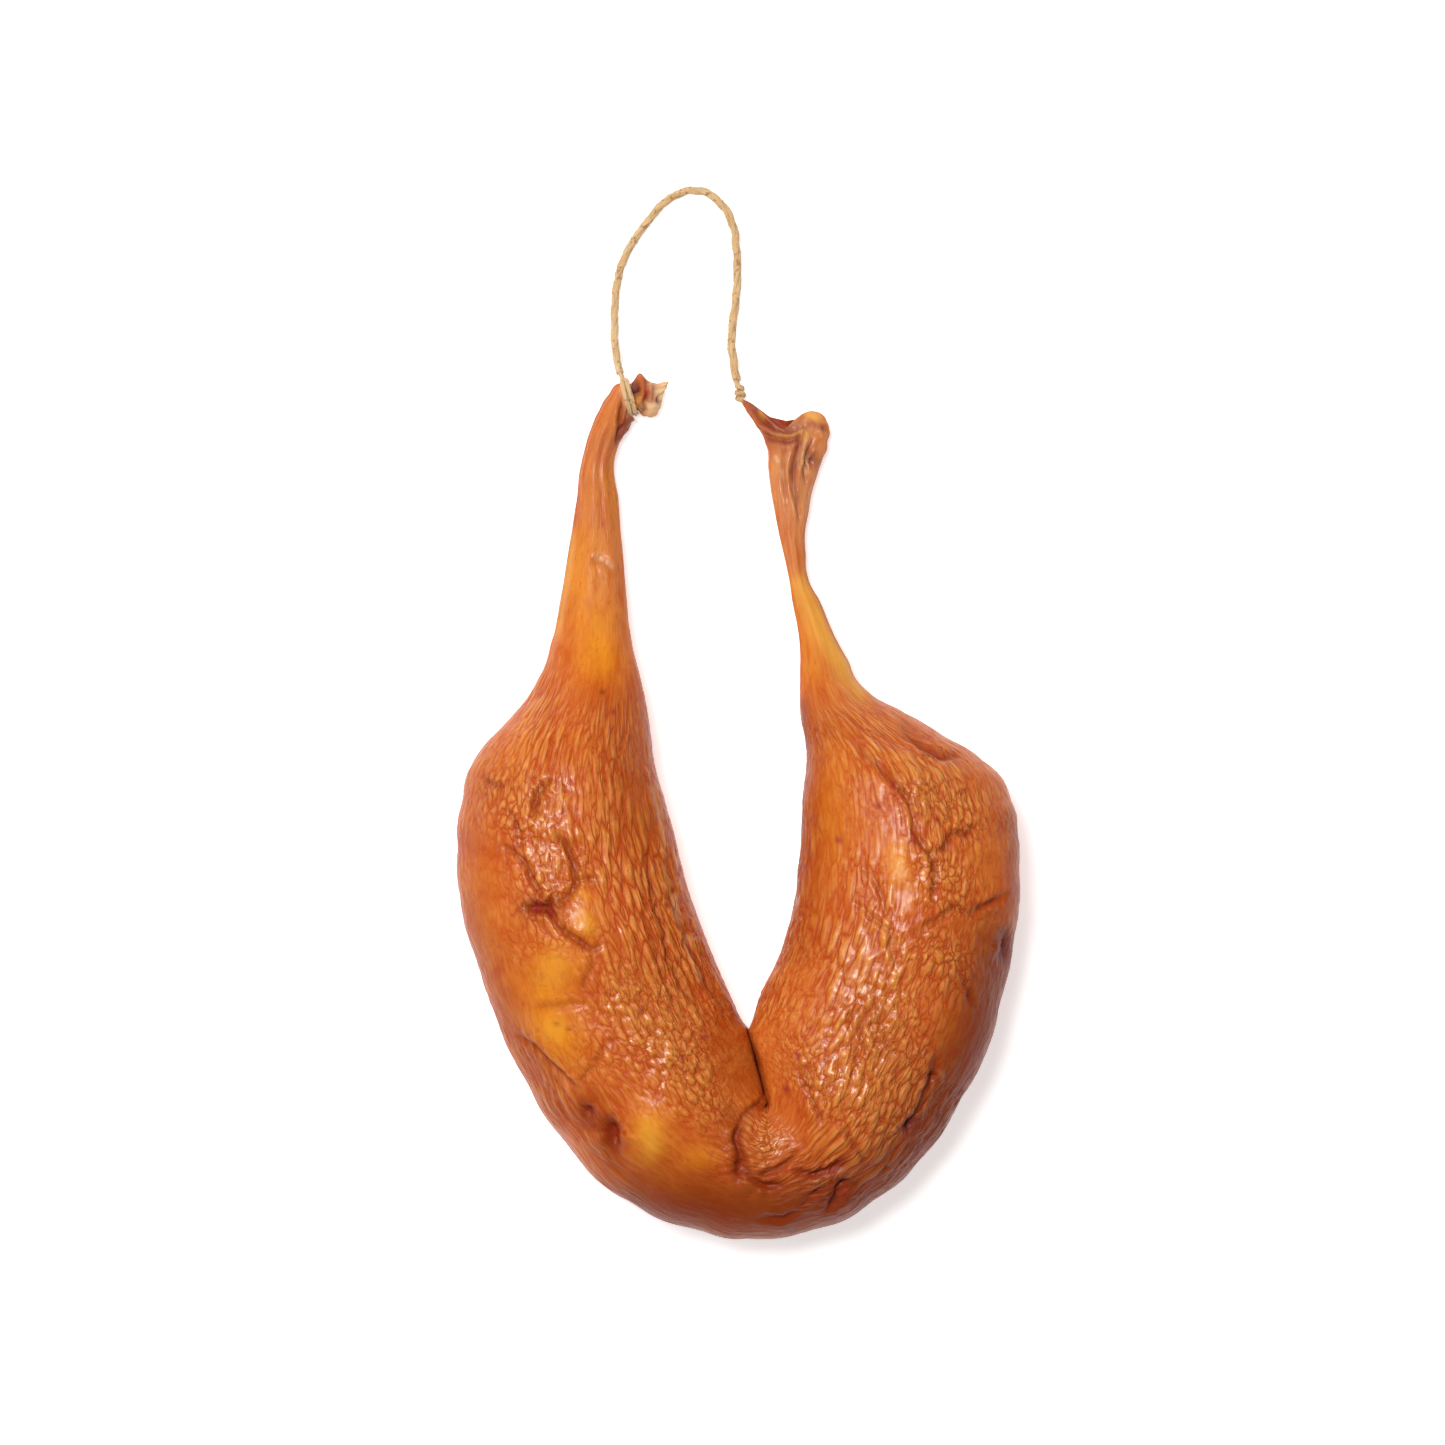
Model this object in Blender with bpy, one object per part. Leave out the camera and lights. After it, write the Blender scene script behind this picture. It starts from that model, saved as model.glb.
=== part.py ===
# A farinheira: a U-shaped smoked sausage lying on its side, with the loop of twine that it hangs by.
# The origin is on the floor under the middle of the sausage. +Y runs to the tied ends, +Z is up.
import bmesh
import bpy
import numpy as np
from mathutils import Vector, noise

MM = 0.001

# Each row is one cut across the sausage, in millimetres and in order along it: the outer edge's x and y,
# the inner edge's x and y, the thickness there, and how high the middle of the cut lies.
TUFT = [
    (-14.2, 84.4, -15.4, 81.0, 2.6, 3.4),
    (-15.9, 85.4, -16.1, 79.2, 5.0, 3.9),
    (-18.1, 85.3, -17.7, 78.2, 6.2, 4.4),
    (-19.6, 84.9, -19.1, 78.6, 5.6, 5.1),
]
LEFT_NECK = [
    (-21.7, 84.2, -20.8, 79.4, 4.4, 5.4),
    (-23.7, 84.5, -21.6, 78.2, 5.4, 5.4),
    (-25.9, 82.2, -21.5, 76.8, 6.2, 5.2),
    (-27.7, 79.2, -22.3, 75.2, 6.2, 5.0),
    (-29.3, 75.6, -23.3, 73.6, 6.0, 4.8),
    (-30.5, 71.8, -24.3, 71.4, 5.8, 4.7),
    (-32.3, 61.0, -24.1, 61.0, 6.6, 5.0),
    (-34.3, 49.0, -23.3, 49.4, 8.6, 6.2),
    (-35.9, 40.6, -22.5, 41.4, 10.6, 7.6),
    (-37.9, 32.0, -21.5, 33.4, 13.6, 9.4),
    (-40.5, 25.0, -20.1, 26.2, 17.2, 11.4),
]
LEFT_LIMB = [
    (-45.7, 17.0, -18.7, 19.0, 23.0, 13.8),
    (-52.1, 9.0, -16.9, 11.4, 29.0, 15.6),
    (-55.3, 1.0, -15.1, 3.0, 32.4, 16.4),
    (-56.5, -9.0, -12.9, -7.6, 34.4, 16.8),
    (-55.5, -19.0, -10.1, -16.6, 35.2, 17.0),
    (-52.3, -31.0, -6.5, -26.6, 35.4, 17.1),
    (-48.3, -43.0, -3.3, -34.6, 35.2, 17.0),
]
BEND = [
    (-42.5, -55.4, -0.3, -41.4, 35.0, 16.9),
    (-34.5, -67.4, 1.9, -46.2, 34.4, 16.6),
    (-21.9, -79.0, 2.9, -50.2, 33.4, 16.1),
    (-7.7, -85.4, 4.1, -54.6, 32.2, 15.5),
    (2.3, -87.0, 5.0, -58.2, 31.4, 15.1),
    (14.7, -85.0, 5.6, -57.4, 31.6, 15.2),
    (27.1, -79.0, 4.9, -54.0, 33.0, 15.9),
    (36.3, -71.0, 3.8, -50.2, 34.2, 16.5),
    (44.1, -59.0, 2.8, -46.0, 35.0, 16.9),
]
RIGHT_LIMB = [
    (49.1, -50.2, 3.7, -40.6, 35.4, 17.1),
    (52.7, -39.0, 6.3, -34.0, 35.6, 17.2),
    (55.1, -27.0, 9.5, -26.2, 35.4, 17.1),
    (56.5, -13.0, 11.9, -13.0, 34.8, 16.8),
    (55.9, -5.0, 12.5, -5.0, 34.0, 16.5),
    (54.3, 1.0, 12.7, 1.4, 32.4, 16.0),
    (49.1, 9.0, 13.1, 7.4, 29.0, 15.0),
    (40.3, 14.2, 13.1, 12.6, 23.4, 13.6),
    (31.7, 18.6, 12.7, 17.0, 17.4, 11.8),
]
RIGHT_NECK = [
    (25.5, 22.6, 12.5, 21.0, 12.2, 9.6),
    (21.9, 29.0, 12.3, 27.0, 9.0, 7.6),
    (19.3, 33.8, 12.1, 32.6, 7.2, 6.4),
    (16.1, 41.0, 10.9, 40.6, 5.2, 5.0),
    (13.7, 45.8, 10.1, 46.2, 4.2, 4.3),
    (13.3, 50.0, 9.3, 49.8, 4.2, 4.0),
    (13.9, 59.0, 7.3, 58.6, 4.8, 3.8),
    (15.9, 67.0, 5.9, 67.4, 5.4, 3.8),
]
FLARE = [
    (17.9, 73.0, 4.3, 73.0, 5.6, 3.8),
    (18.1, 75.0, 3.3, 74.8, 5.2, 3.6),
    (17.5, 77.0, 2.3, 77.0, 4.4, 3.3),
    (16.5, 78.4, 1.9, 79.0, 3.4, 3.0),
    (14.9, 79.0, 2.3, 80.6, 2.0, 2.8),
]
CUTS = TUFT + LEFT_NECK + LEFT_LIMB + BEND + RIGHT_LIMB + RIGHT_NECK + FLARE
TIE_CUT = len(TUFT)

RING_POINTS = 38
SHORTEST_STEP = 1.2
LONGEST_STEP = 3.8
STEP_FOR_THICKNESS = 0.28
FINE_STEPS = 2000

# The flare's end edge dips between its two corners
FLARE_DIP = 4.8
FLARE_DIP_PLACE = -0.12
FLARE_DIP_WIDTH = 0.4

# The limbs meet in a tight fold, where the cuts are fuller on their inner side
FOLD_POINT = (4.6, -52.0)
FOLD_REACH = 14.0
FOLD_FULLNESS = 0.35

PLEATS = 9
PLEAT_DEPTH = 0.36
PLEAT_DRIFT = 0.6
PLEAT_DRIFT_LENGTH = 9.0
PLEATED_THICKNESS = 20.0
LUMP_HEIGHT = 1.1
LUMP_SIZE = 17.0

# Dents pressed into the upper side: depth, half width, then the line that each one follows
DENTS = [
    (1.3, 1.9, [(-38.1, 3.8), (-40.5, 0.0), (-40.9, -3.2)]),
    (1.2, 1.9, [(-43.7, -3.4), (-43.3, -10.8), (-41.3, -13.2), (-38.9, -18.2)]),
    (1.3, 2.0, [(-37.1, -5.0), (-32.7, -10.2), (-32.7, -15.8), (-36.1, -20.8)]),
    (1.3, 2.0, [(-43.9, -45.8), (-38.9, -50.8), (-34.3, -54.8), (-32.1, -55.8)]),
    (1.7, 2.3, [(-25.5, -64.6), (-24.7, -68.4)]),
    (1.4, 1.9, [(2.7, -58.8), (-0.5, -64.4), (-0.1, -71.0), (2.7, -73.8), (10.3, -69.6)]),
    (1.3, 2.0, [(46.5, -4.6), (41.9, -8.0), (38.9, -14.2), (39.1, -18.4)]),
    (1.3, 2.0, [(54.7, -17.0), (45.5, -21.6), (37.3, -24.2), (35.7, -25.0)]),
    (1.4, 2.0, [(42.1, -51.4), (38.7, -54.4), (37.9, -58.8)]),
]

TWINE_RADIUS = 1.0
TWINE_STEP = 4.0
GAP = 0.3
# From the left tie, round the top of the loop and down to the right tie
TWINE_ROUTE = [
    (-23.1, 87.6, 4.7), (-24.1, 89.8, 3.7), (-24.7, 93.0, 2.2), (-24.9, 97.0, 1.3), (-24.8, 101.0, 1.05),
    (-24.3, 105.0, 1.05), (-23.2, 109.0, 1.05), (-21.1, 113.1, 1.05), (-18.5, 117.2, 1.05),
    (-14.8, 121.2, 1.05), (-9.3, 123.3, 1.05), (-4.0, 121.3, 1.05), (-1.4, 117.2, 1.05),
    (-0.7, 113.0, 1.05), (-0.4, 109.0, 1.05), (-0.3, 105.0, 1.05), (-0.6, 101.0, 1.05),
    (-1.1, 97.0, 1.05), (-1.4, 93.0, 1.1), (-1.0, 89.0, 1.4), (-0.4, 85.2, 1.9),
]

TIE_POINTS = 22
TIE_SIDES = 8

KNOT_START = (0.0, 84.0, 2.0)
KNOT_END = (0.7, 80.4, 2.3)
KNOT_RADIUS = 1.3
KNOT_TURNS = 2
KNOT_GROOVE = 0.1
# Share of a half circle that the barrel's side takes, from its first flat end to its last
KNOT_CROWN = (0.12, 0.88)
KNOT_STATIONS = 12
KNOT_SIDES = 14


def clear_scene():
    for item in list(bpy.data.objects):
        bpy.data.objects.remove(item, do_unlink=True)


def material(name, colour, roughness):
    made = bpy.data.materials.new(name)
    made.use_nodes = True
    shader = made.node_tree.nodes["Principled BSDF"]
    shader.inputs["Base Color"].default_value = (*colour, 1.0)
    shader.inputs["Roughness"].default_value = roughness
    return made


def distances(points):
    steps = np.linalg.norm(np.diff(points, axis=0), axis=1)
    return np.concatenate([[0.0], np.cumsum(steps)])


def smooth_curve(knots, rows, at):
    """Values at the distances `at` on a smooth curve through the rows."""
    slopes = np.gradient(rows, knots, axis=0)
    place = np.clip(np.searchsorted(knots, at, side="right") - 1, 0, len(knots) - 2)
    span = (knots[place + 1] - knots[place])[:, None]
    part = (at - knots[place])[:, None] / span
    low = rows[place] + slopes[place] * span * part
    high = rows[place + 1] - slopes[place + 1] * span * (1.0 - part)
    blend = part * part * (3.0 - 2.0 * part)
    return low * (1.0 - blend) + high * blend


def cut_distances(cuts):
    middles = (cuts[:, 0:2] + cuts[:, 2:4]) / 2.0
    return distances(middles)


def places_along(knots, cuts):
    """Distances of the rings: close together where the sausage is thin."""
    fine = np.linspace(0.0, knots[-1], FINE_STEPS + 1)
    thickness = np.interp(fine, knots, cuts[:, 4])
    step = np.clip(STEP_FOR_THICKNESS * thickness, SHORTEST_STEP, LONGEST_STEP)
    rings_so_far = np.concatenate([[0.0], np.cumsum(np.diff(fine) / step[1:])])
    count = int(round(rings_so_far[-1]))
    return np.interp(np.linspace(0.0, rings_so_far[-1], count + 1), rings_so_far, fine)


def flare_dip(distance, knots, across):
    start = knots[-len(FLARE) - 1]
    grown = np.clip((distance - start) / (knots[-1] - start), 0.0, 1.0) ** 2
    return FLARE_DIP * grown * np.exp(-(((across - FLARE_DIP_PLACE) / FLARE_DIP_WIDTH) ** 2))


def ring_of_cut(cut, ahead, dip):
    """Points round one cut: the outer edge, over the top, the inner edge, then back underneath."""
    outer = np.array([cut[0], cut[1], 0.0])
    inner = np.array([cut[2], cut[3], 0.0])
    half = (outer - inner) / 2.0
    middle = (outer + inner) / 2.0
    angle = np.arange(RING_POINTS) / RING_POINTS * 2.0 * np.pi
    across = np.cos(angle)
    up = np.sin(angle)
    near_fold = np.exp(-((np.hypot(*(inner[:2] - FOLD_POINT)) / FOLD_REACH) ** 2))
    power = 1.0 - FOLD_FULLNESS * near_fold * np.clip(-across, 0.0, 1.0)
    up = np.sign(up) * np.abs(up) ** power
    points = middle + across[:, None] * half - dip(across)[:, None] * ahead
    points[:, 2] = cut[5] + up * cut[4] / 2.0
    return points


def surface_normals(grid):
    along = np.gradient(grid, axis=0)
    round_it = np.roll(grid, -1, axis=1) - np.roll(grid, 1, axis=1)
    normals = np.cross(along, round_it)
    return normals / np.maximum(np.linalg.norm(normals, axis=2, keepdims=True), 1e-9)


def line_distance(points, line):
    """Distance in plan from each point to a line of straight pieces."""
    nearest = np.full(points.shape[:2], 1e9)
    for start, end in zip(line[:-1], line[1:]):
        start = np.array(start)
        run = np.array(end) - start
        share = np.clip(((points[..., :2] - start) @ run) / (run @ run), 0.0, 1.0)
        gap = points[..., :2] - start - share[..., None] * run
        nearest = np.minimum(nearest, np.hypot(gap[..., 0], gap[..., 1]))
    return nearest


def relief(grid, normals, cuts):
    """Height above the plain shape: pleats on the necks, soft lumps, and dents on top."""
    thickness = cuts[:, 4][:, None]
    angle = np.arange(RING_POINTS)[None, :] / RING_POINTS * 2.0 * np.pi
    pleated = np.clip(1.0 - thickness / PLEATED_THICKNESS, 0.0, 1.0)
    full = 1.0 - pleated
    drift = PLEAT_DRIFT * np.sin(grid[..., 1] / PLEAT_DRIFT_LENGTH)
    height = PLEAT_DEPTH * np.sqrt(pleated) * np.cos(PLEATS * angle + drift)
    lumps = np.array([[noise.noise(Vector(point) / LUMP_SIZE) for point in row] for row in grid])
    height = height + LUMP_HEIGHT * full * lumps
    facing_up = np.clip(normals[..., 2] * 2.0, 0.0, 1.0)
    for depth, width, line in DENTS:
        height -= depth * facing_up * np.exp(-((line_distance(grid, line) / width) ** 2))
    to_fold = np.hypot(grid[..., 0] - FOLD_POINT[0], grid[..., 1] - FOLD_POINT[1])
    return height * np.clip(to_fold / FOLD_REACH, 0.0, 1.0)


def sausage_grid():
    cuts = np.array(CUTS)
    knots = cut_distances(cuts)
    places = places_along(knots, cuts)
    fine = smooth_curve(knots, cuts, places)
    middles = (fine[:, 0:2] + fine[:, 2:4]) / 2.0
    ahead = np.gradient(middles, places, axis=0)
    rings = []
    for cut, distance, direction in zip(fine, places, ahead):
        forward = np.array([*direction, 0.0]) / np.hypot(*direction)
        rings.append(ring_of_cut(cut, forward, lambda across: flare_dip(distance, knots, across)))
    grid = np.array(rings)
    normals = surface_normals(grid)
    grid = grid + normals * relief(grid, normals, fine)[..., None]
    grid[..., 2] = np.maximum(grid[..., 2], 0.0)
    return grid


def close_end(mesh, ring, flip):
    """Joins the upper and lower halves of an end ring with a strip of faces."""
    count = len(ring)
    for step in range(count // 2):
        corners = [ring[step], ring[step + 1], ring[(count - step - 1) % count], ring[(count - step) % count]]
        unique = list(dict.fromkeys(corners))
        mesh.faces.new(unique[::-1] if flip else unique)


def tube_mesh(name, grid, closed=False):
    """A skin over the rings of a grid, given in millimetres; closed joins the last ring to the first."""
    mesh = bmesh.new()
    rings = [[mesh.verts.new(Vector(point) * MM) for point in ring] for ring in grid]
    pairs = list(zip(rings[:-1], rings[1:]))
    if closed:
        pairs.append((rings[-1], rings[0]))
    for first, second in pairs:
        for step in range(len(first)):
            after = (step + 1) % len(first)
            mesh.faces.new([first[step], first[after], second[after], second[step]])
    if not closed:
        close_end(mesh, rings[0], flip=True)
        close_end(mesh, rings[-1], flip=False)
    bmesh.ops.recalc_face_normals(mesh, faces=mesh.faces)
    data = bpy.data.meshes.new(name)
    mesh.to_mesh(data)
    mesh.free()
    data.shade_smooth()
    return data


def place(name, data, finish):
    item = bpy.data.objects.new(name, data)
    data.materials.append(finish)
    bpy.context.scene.collection.objects.link(item)
    return item


def twine_loop(finish):
    route = np.array(TWINE_ROUTE)
    knots = distances(route)
    count = int(round(knots[-1] / TWINE_STEP)) + 1
    points = smooth_curve(knots, route, np.linspace(0.0, knots[-1], count)) * MM
    curve = bpy.data.curves.new("twine_loop", "CURVE")
    curve.dimensions = "3D"
    curve.bevel_depth = TWINE_RADIUS * MM
    curve.bevel_resolution = 2
    curve.render_resolution_u = 0
    curve.use_fill_caps = True
    spline = curve.splines.new("POLY")
    spline.points.add(count - 1)
    for point, position in zip(spline.points, points):
        point.co = (*position, 1.0)
    place("twine_loop", curve, finish)


def tie_left(finish):
    """One turn of twine drawn tight round the narrowest cut of the left neck."""
    cut = np.array(CUTS[TIE_CUT])
    outer = np.array([cut[0], cut[1], 0.0])
    inner = np.array([cut[2], cut[3], 0.0])
    across = (outer - inner) / np.linalg.norm(outer - inner)
    upright = np.array([0.0, 0.0, 1.0])
    along = np.cross(across, upright)
    middle = (outer + inner) / 2.0 + upright * cut[5]
    clear = PLEAT_DEPTH + 2.0 * GAP + TWINE_RADIUS
    wide = np.linalg.norm(outer - inner) / 2.0 + clear
    high = cut[4] / 2.0 + clear
    rings = []
    for turn in np.arange(TIE_POINTS) / TIE_POINTS * 2.0 * np.pi:
        outward = across * np.cos(turn) / wide + upright * np.sin(turn) / high
        outward = outward / np.linalg.norm(outward)
        centre = middle + across * wide * np.cos(turn) + upright * high * np.sin(turn)
        around = np.arange(TIE_SIDES) / TIE_SIDES * 2.0 * np.pi
        rings.append([centre + TWINE_RADIUS * (outward * np.cos(a) + along * np.sin(a)) for a in around])
    place("twine_tie_left", tube_mesh("twine_tie_left", np.array(rings), closed=True), finish)


def tie_right(finish):
    """A small barrel knot of twine at the flare's left corner."""
    start = np.array(KNOT_START)
    end = np.array(KNOT_END)
    along = (end - start) / np.linalg.norm(end - start)
    side = np.cross(along, [0.0, 0.0, 1.0])
    side = side / np.linalg.norm(side)
    other = np.cross(side, along)
    around = np.arange(KNOT_SIDES) / KNOT_SIDES * 2.0 * np.pi
    rings = []
    for share in np.linspace(0.0, 1.0, KNOT_STATIONS + 1):
        bulge = np.sin(np.pi * np.interp(share, [0.0, 1.0], KNOT_CROWN)) ** 0.5
        turn = 1.0 - KNOT_GROOVE * np.cos(2.0 * np.pi * KNOT_TURNS * share)
        radius = KNOT_RADIUS * bulge * turn
        centre = start + (end - start) * share
        rings.append([centre + radius * (side * np.cos(a) + other * np.sin(a)) for a in around])
    place("twine_tie_right", tube_mesh("twine_tie_right", np.array(rings)), finish)


clear_scene()
casing = material("casing", (0.55, 0.17, 0.055), 0.42)
twine = material("twine", (0.68, 0.5, 0.3), 0.85)
place("sausage", tube_mesh("sausage", sausage_grid()), casing)
twine_loop(twine)
tie_left(twine)
tie_right(twine)
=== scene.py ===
# A farinheira on a pale floor: its wrinkled smoked casing, and the loop of twine that it hangs by.
# Shapes are worked out in millimetres in the frame's own axes and turned to metres when meshes are made.
import math

import bpy
import numpy as np
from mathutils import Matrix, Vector, noise


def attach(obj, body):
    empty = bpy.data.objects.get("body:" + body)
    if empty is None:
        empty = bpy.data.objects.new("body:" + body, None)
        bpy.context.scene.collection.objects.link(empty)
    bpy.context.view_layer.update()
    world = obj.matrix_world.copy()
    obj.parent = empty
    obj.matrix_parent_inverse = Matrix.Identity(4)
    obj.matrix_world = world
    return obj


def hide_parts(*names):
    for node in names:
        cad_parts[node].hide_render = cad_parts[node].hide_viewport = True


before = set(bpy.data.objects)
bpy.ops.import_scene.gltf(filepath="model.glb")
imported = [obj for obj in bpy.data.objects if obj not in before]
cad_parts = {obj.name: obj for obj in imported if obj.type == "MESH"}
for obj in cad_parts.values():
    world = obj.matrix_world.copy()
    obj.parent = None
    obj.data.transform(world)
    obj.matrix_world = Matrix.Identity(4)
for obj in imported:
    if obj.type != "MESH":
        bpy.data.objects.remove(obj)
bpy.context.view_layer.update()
mm = 0.001
fullTurn = 2.0 * math.pi
upright = np.array([0.0, 0.0, 1.0])
white = (1.0, 1.0, 1.0, 1.0)


def say(text):
    print("farinheira:", text)


# Shared helpers for node trees

def setInputs(tree, node, values):
    for name, value in values.items():
        if isinstance(value, bpy.types.NodeSocket):
            tree.links.new(value, node.inputs[name])
        else:
            node.inputs[name].default_value = value


def addNode(tree, kind, inputs=None, **settings):
    made = tree.nodes.new(kind)
    for name, value in settings.items():
        setattr(made, name, value)
    setInputs(tree, made, inputs or {})
    return made


def addGeo(tree, kind, inputs=None, **settings):
    return addNode(tree, "GeometryNode" + kind, inputs, **settings)


def addShade(tree, kind, inputs=None, **settings):
    return addNode(tree, "ShaderNode" + kind, inputs, **settings)


def addMath(tree, operation, first, second=0.0, clamp=False):
    inputs = {0: first, 1: second}
    return addShade(tree, "Math", inputs, operation=operation, use_clamp=clamp).outputs[0]


def plus(tree, first, second, clamp=False):
    return addMath(tree, "ADD", first, second, clamp)


def minus(tree, first, second, clamp=False):
    return addMath(tree, "SUBTRACT", first, second, clamp)


def times(tree, first, second, clamp=False):
    return addMath(tree, "MULTIPLY", first, second, clamp)


def addVectors(tree, operation, first, second):
    return addShade(tree, "VectorMath", {0: first, 1: second}, operation=operation).outputs[0]


def scaleVector(tree, vector, amount):
    return addShade(tree, "VectorMath", {0: vector, "Scale": amount}, operation="SCALE").outputs[0]


def mixColour(tree, factor, first, second):
    return addShade(tree, "Mix", {0: factor, 6: first, 7: second}, data_type="RGBA").outputs[2]


def rgba(colour):
    return (*colour, 1.0)


def newTree(name, kind, inputs, output):
    tree = bpy.data.node_groups.new(name, kind)
    for label, sort in inputs.items():
        tree.interface.new_socket(label, in_out="INPUT", socket_type="NodeSocket" + sort)
    tree.interface.new_socket(output[0], in_out="OUTPUT", socket_type="NodeSocket" + output[1])
    return tree, tree.nodes.new("NodeGroupInput").outputs


def newGrowth(name, inputs):
    # A Geometry Nodes tree for a modifier: geometry and a finish go in, the finished piece comes out
    inputs = {"Geometry": "Geometry", **inputs, "Finish": "Material"}
    tree, given = newTree(name, "GeometryNodeTree", inputs, ("Geometry", "Geometry"))
    tree.is_modifier = True
    return tree, given


def endTree(tree, value):
    tree.links.new(value, tree.nodes.new("NodeGroupOutput").inputs[0])
    return tree


def painted(tree, geometry, given):
    inputs = {"Geometry": geometry, "Material": given["Finish"]}
    return endTree(tree, addGeo(tree, "SetMaterial", inputs).outputs[0])


def useGroup(tree, group, inputs):
    return addShade(tree, "Group", inputs, node_tree=group).outputs[0]


# The crinkles: size across, how long for their width, sharpness and how much the islands count
# beside the ridges; then how the ridges and the islands rise from the noise that draws them
crinkleLines = {
    "long": (1.3, 4.8, 4.4, 0.45),
    "cell": (1.2, 2.0, 4.4, 0.5),
    "longDepth": 0.52,
    "cellDepth": 0.48,
    "ridgeSize": 0.8,
    "ridgeSoftness": 0.012,
    "ridgePower": 1.4,
    "islandWarp": 1.5,
    "islandRise": 3.2,
    "islandPower": 0.6,
    "middle": 0.3,
}


def shrunk(tree, place, size, stretch):
    return addVectors(tree, "MULTIPLY", place, (1.0 / size, 1.0 / size, 1.0 / (size * stretch)))


def ridgeLines(tree, place, sharpness):
    # Raised lines that follow the middle values of a stretched noise: 1 on a line, 0 between them
    cloud = addShade(tree, "TexNoise", {
        "Vector": place, "Scale": 1.0, "Detail": 1.0, "Roughness": 0.45, "Distortion": 0.35,
    }).outputs[0]
    off = times(tree, minus(tree, cloud, 0.5), sharpness)
    softened = addMath(tree, "SQRT", plus(tree, times(tree, off, off), crinkleLines["ridgeSoftness"]))
    return addMath(tree, "POWER", minus(tree, 1.0, softened, clamp=True), crinkleLines["ridgePower"])


def islands(tree, place):
    # Rounded islands of skin with narrow creases between them: 1 on an island, 0 in a crease
    cloud = addShade(tree, "TexNoise", {"Vector": place, "Scale": 0.9, "Detail": 1.0})
    bend = addVectors(tree, "MULTIPLY", cloud.outputs["Color"], (crinkleLines["islandWarp"],) * 3)
    bent = addVectors(tree, "ADD", place, bend)
    cells = addShade(tree, "TexVoronoi", {"Vector": bent, "Scale": 0.8}, feature="DISTANCE_TO_EDGE")
    rise = times(tree, cells.outputs["Distance"], crinkleLines["islandRise"], clamp=True)
    return addMath(tree, "POWER", rise, crinkleLines["islandPower"])


def crinkles(tree, place):
    # The same lines in the mesh and in its material: long wrinkles, then small cells, with their creases
    heights, cracks = [], []
    for kind in ("long", "cell"):
        size, stretch, sharpness, share = crinkleLines[kind]
        ridge = ridgeLines(tree, shrunk(tree, place, size * crinkleLines["ridgeSize"], stretch), sharpness)
        island = islands(tree, shrunk(tree, place, size, stretch))
        raised = plus(tree, times(tree, ridge, 1.0 - share), share)
        heights.append(times(tree, raised, island))
        cracks.append(minus(tree, 1.0, island, clamp=True))
    return heights, cracks


# Shared helpers for points and meshes

def pointDistances(points):
    return np.concatenate([[0.0], np.cumsum(np.linalg.norm(np.diff(points, axis=0), axis=1))])


def smoothRows(knots, rows, at):
    slopes = np.gradient(rows, knots, axis=0)
    place = np.clip(np.searchsorted(knots, at, side="right") - 1, 0, len(knots) - 2)
    span = (knots[place + 1] - knots[place])[:, None]
    part = (at - knots[place])[:, None] / span
    low = rows[place] + slopes[place] * span * part
    high = rows[place + 1] - slopes[place + 1] * span * (1.0 - part)
    blend = part * part * (3.0 - 2.0 * part)
    return low * (1.0 - blend) + high * blend


def smoothPath(points, count):
    points = np.array(points)
    knots = pointDistances(points)
    return smoothRows(knots, points, np.linspace(0.0, knots[-1], count))


def noiseAt(points, size, shift=0.0):
    move = Vector((shift, 2.0 * shift, -shift))  # a different shift gives an unrelated pattern
    flat = (points / size).reshape(-1, 3)
    return np.array([noise.noise(Vector(p) + move) for p in flat]).reshape(points.shape[:-1])


def clamped(value):
    return np.clip(value, 0.0, 1.0)


def atLeast(least, part):
    return least + (1.0 - least) * part


def bell(distance, width, power=2):
    return np.exp(-((distance / width) ** power))


def planDistance(points, x, y, squeeze=1.0):
    return np.hypot(points[..., 0] - x, (points[..., 1] - y) * squeeze)


def addObject(name, data):
    made = bpy.data.objects.new(name, data)
    bpy.context.scene.collection.objects.link(made)
    return made


def coordinates(data):
    points = np.zeros(len(data.vertices) * 3)
    data.vertices.foreach_get("co", points)
    return points.reshape(-1, 3)


def grownMesh(name, source, tree, values):
    # Runs a Geometry Nodes tree on a mesh and keeps what it makes as a plain mesh
    holder = addObject(name + "Guide", source)
    modifier = holder.modifiers.new("Grow", "NODES")
    modifier.node_group = tree
    sockets = {item.name: item.identifier for item in tree.interface.items_tree if item.in_out == "INPUT"}
    for label, value in values.items():
        modifier[sockets[label]] = value
    depsgraph = bpy.context.evaluated_depsgraph_get()
    data = bpy.data.meshes.new_from_object(holder.evaluated_get(depsgraph), depsgraph=depsgraph)
    data.name = name
    holder.modifiers.remove(modifier)
    bpy.data.objects.remove(holder)
    bpy.data.meshes.remove(source)
    return data


def placeMesh(name, data, finish):
    data.materials.clear()
    data.materials.append(finish)
    return addObject(name, data)


# The sausage's casing

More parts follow.
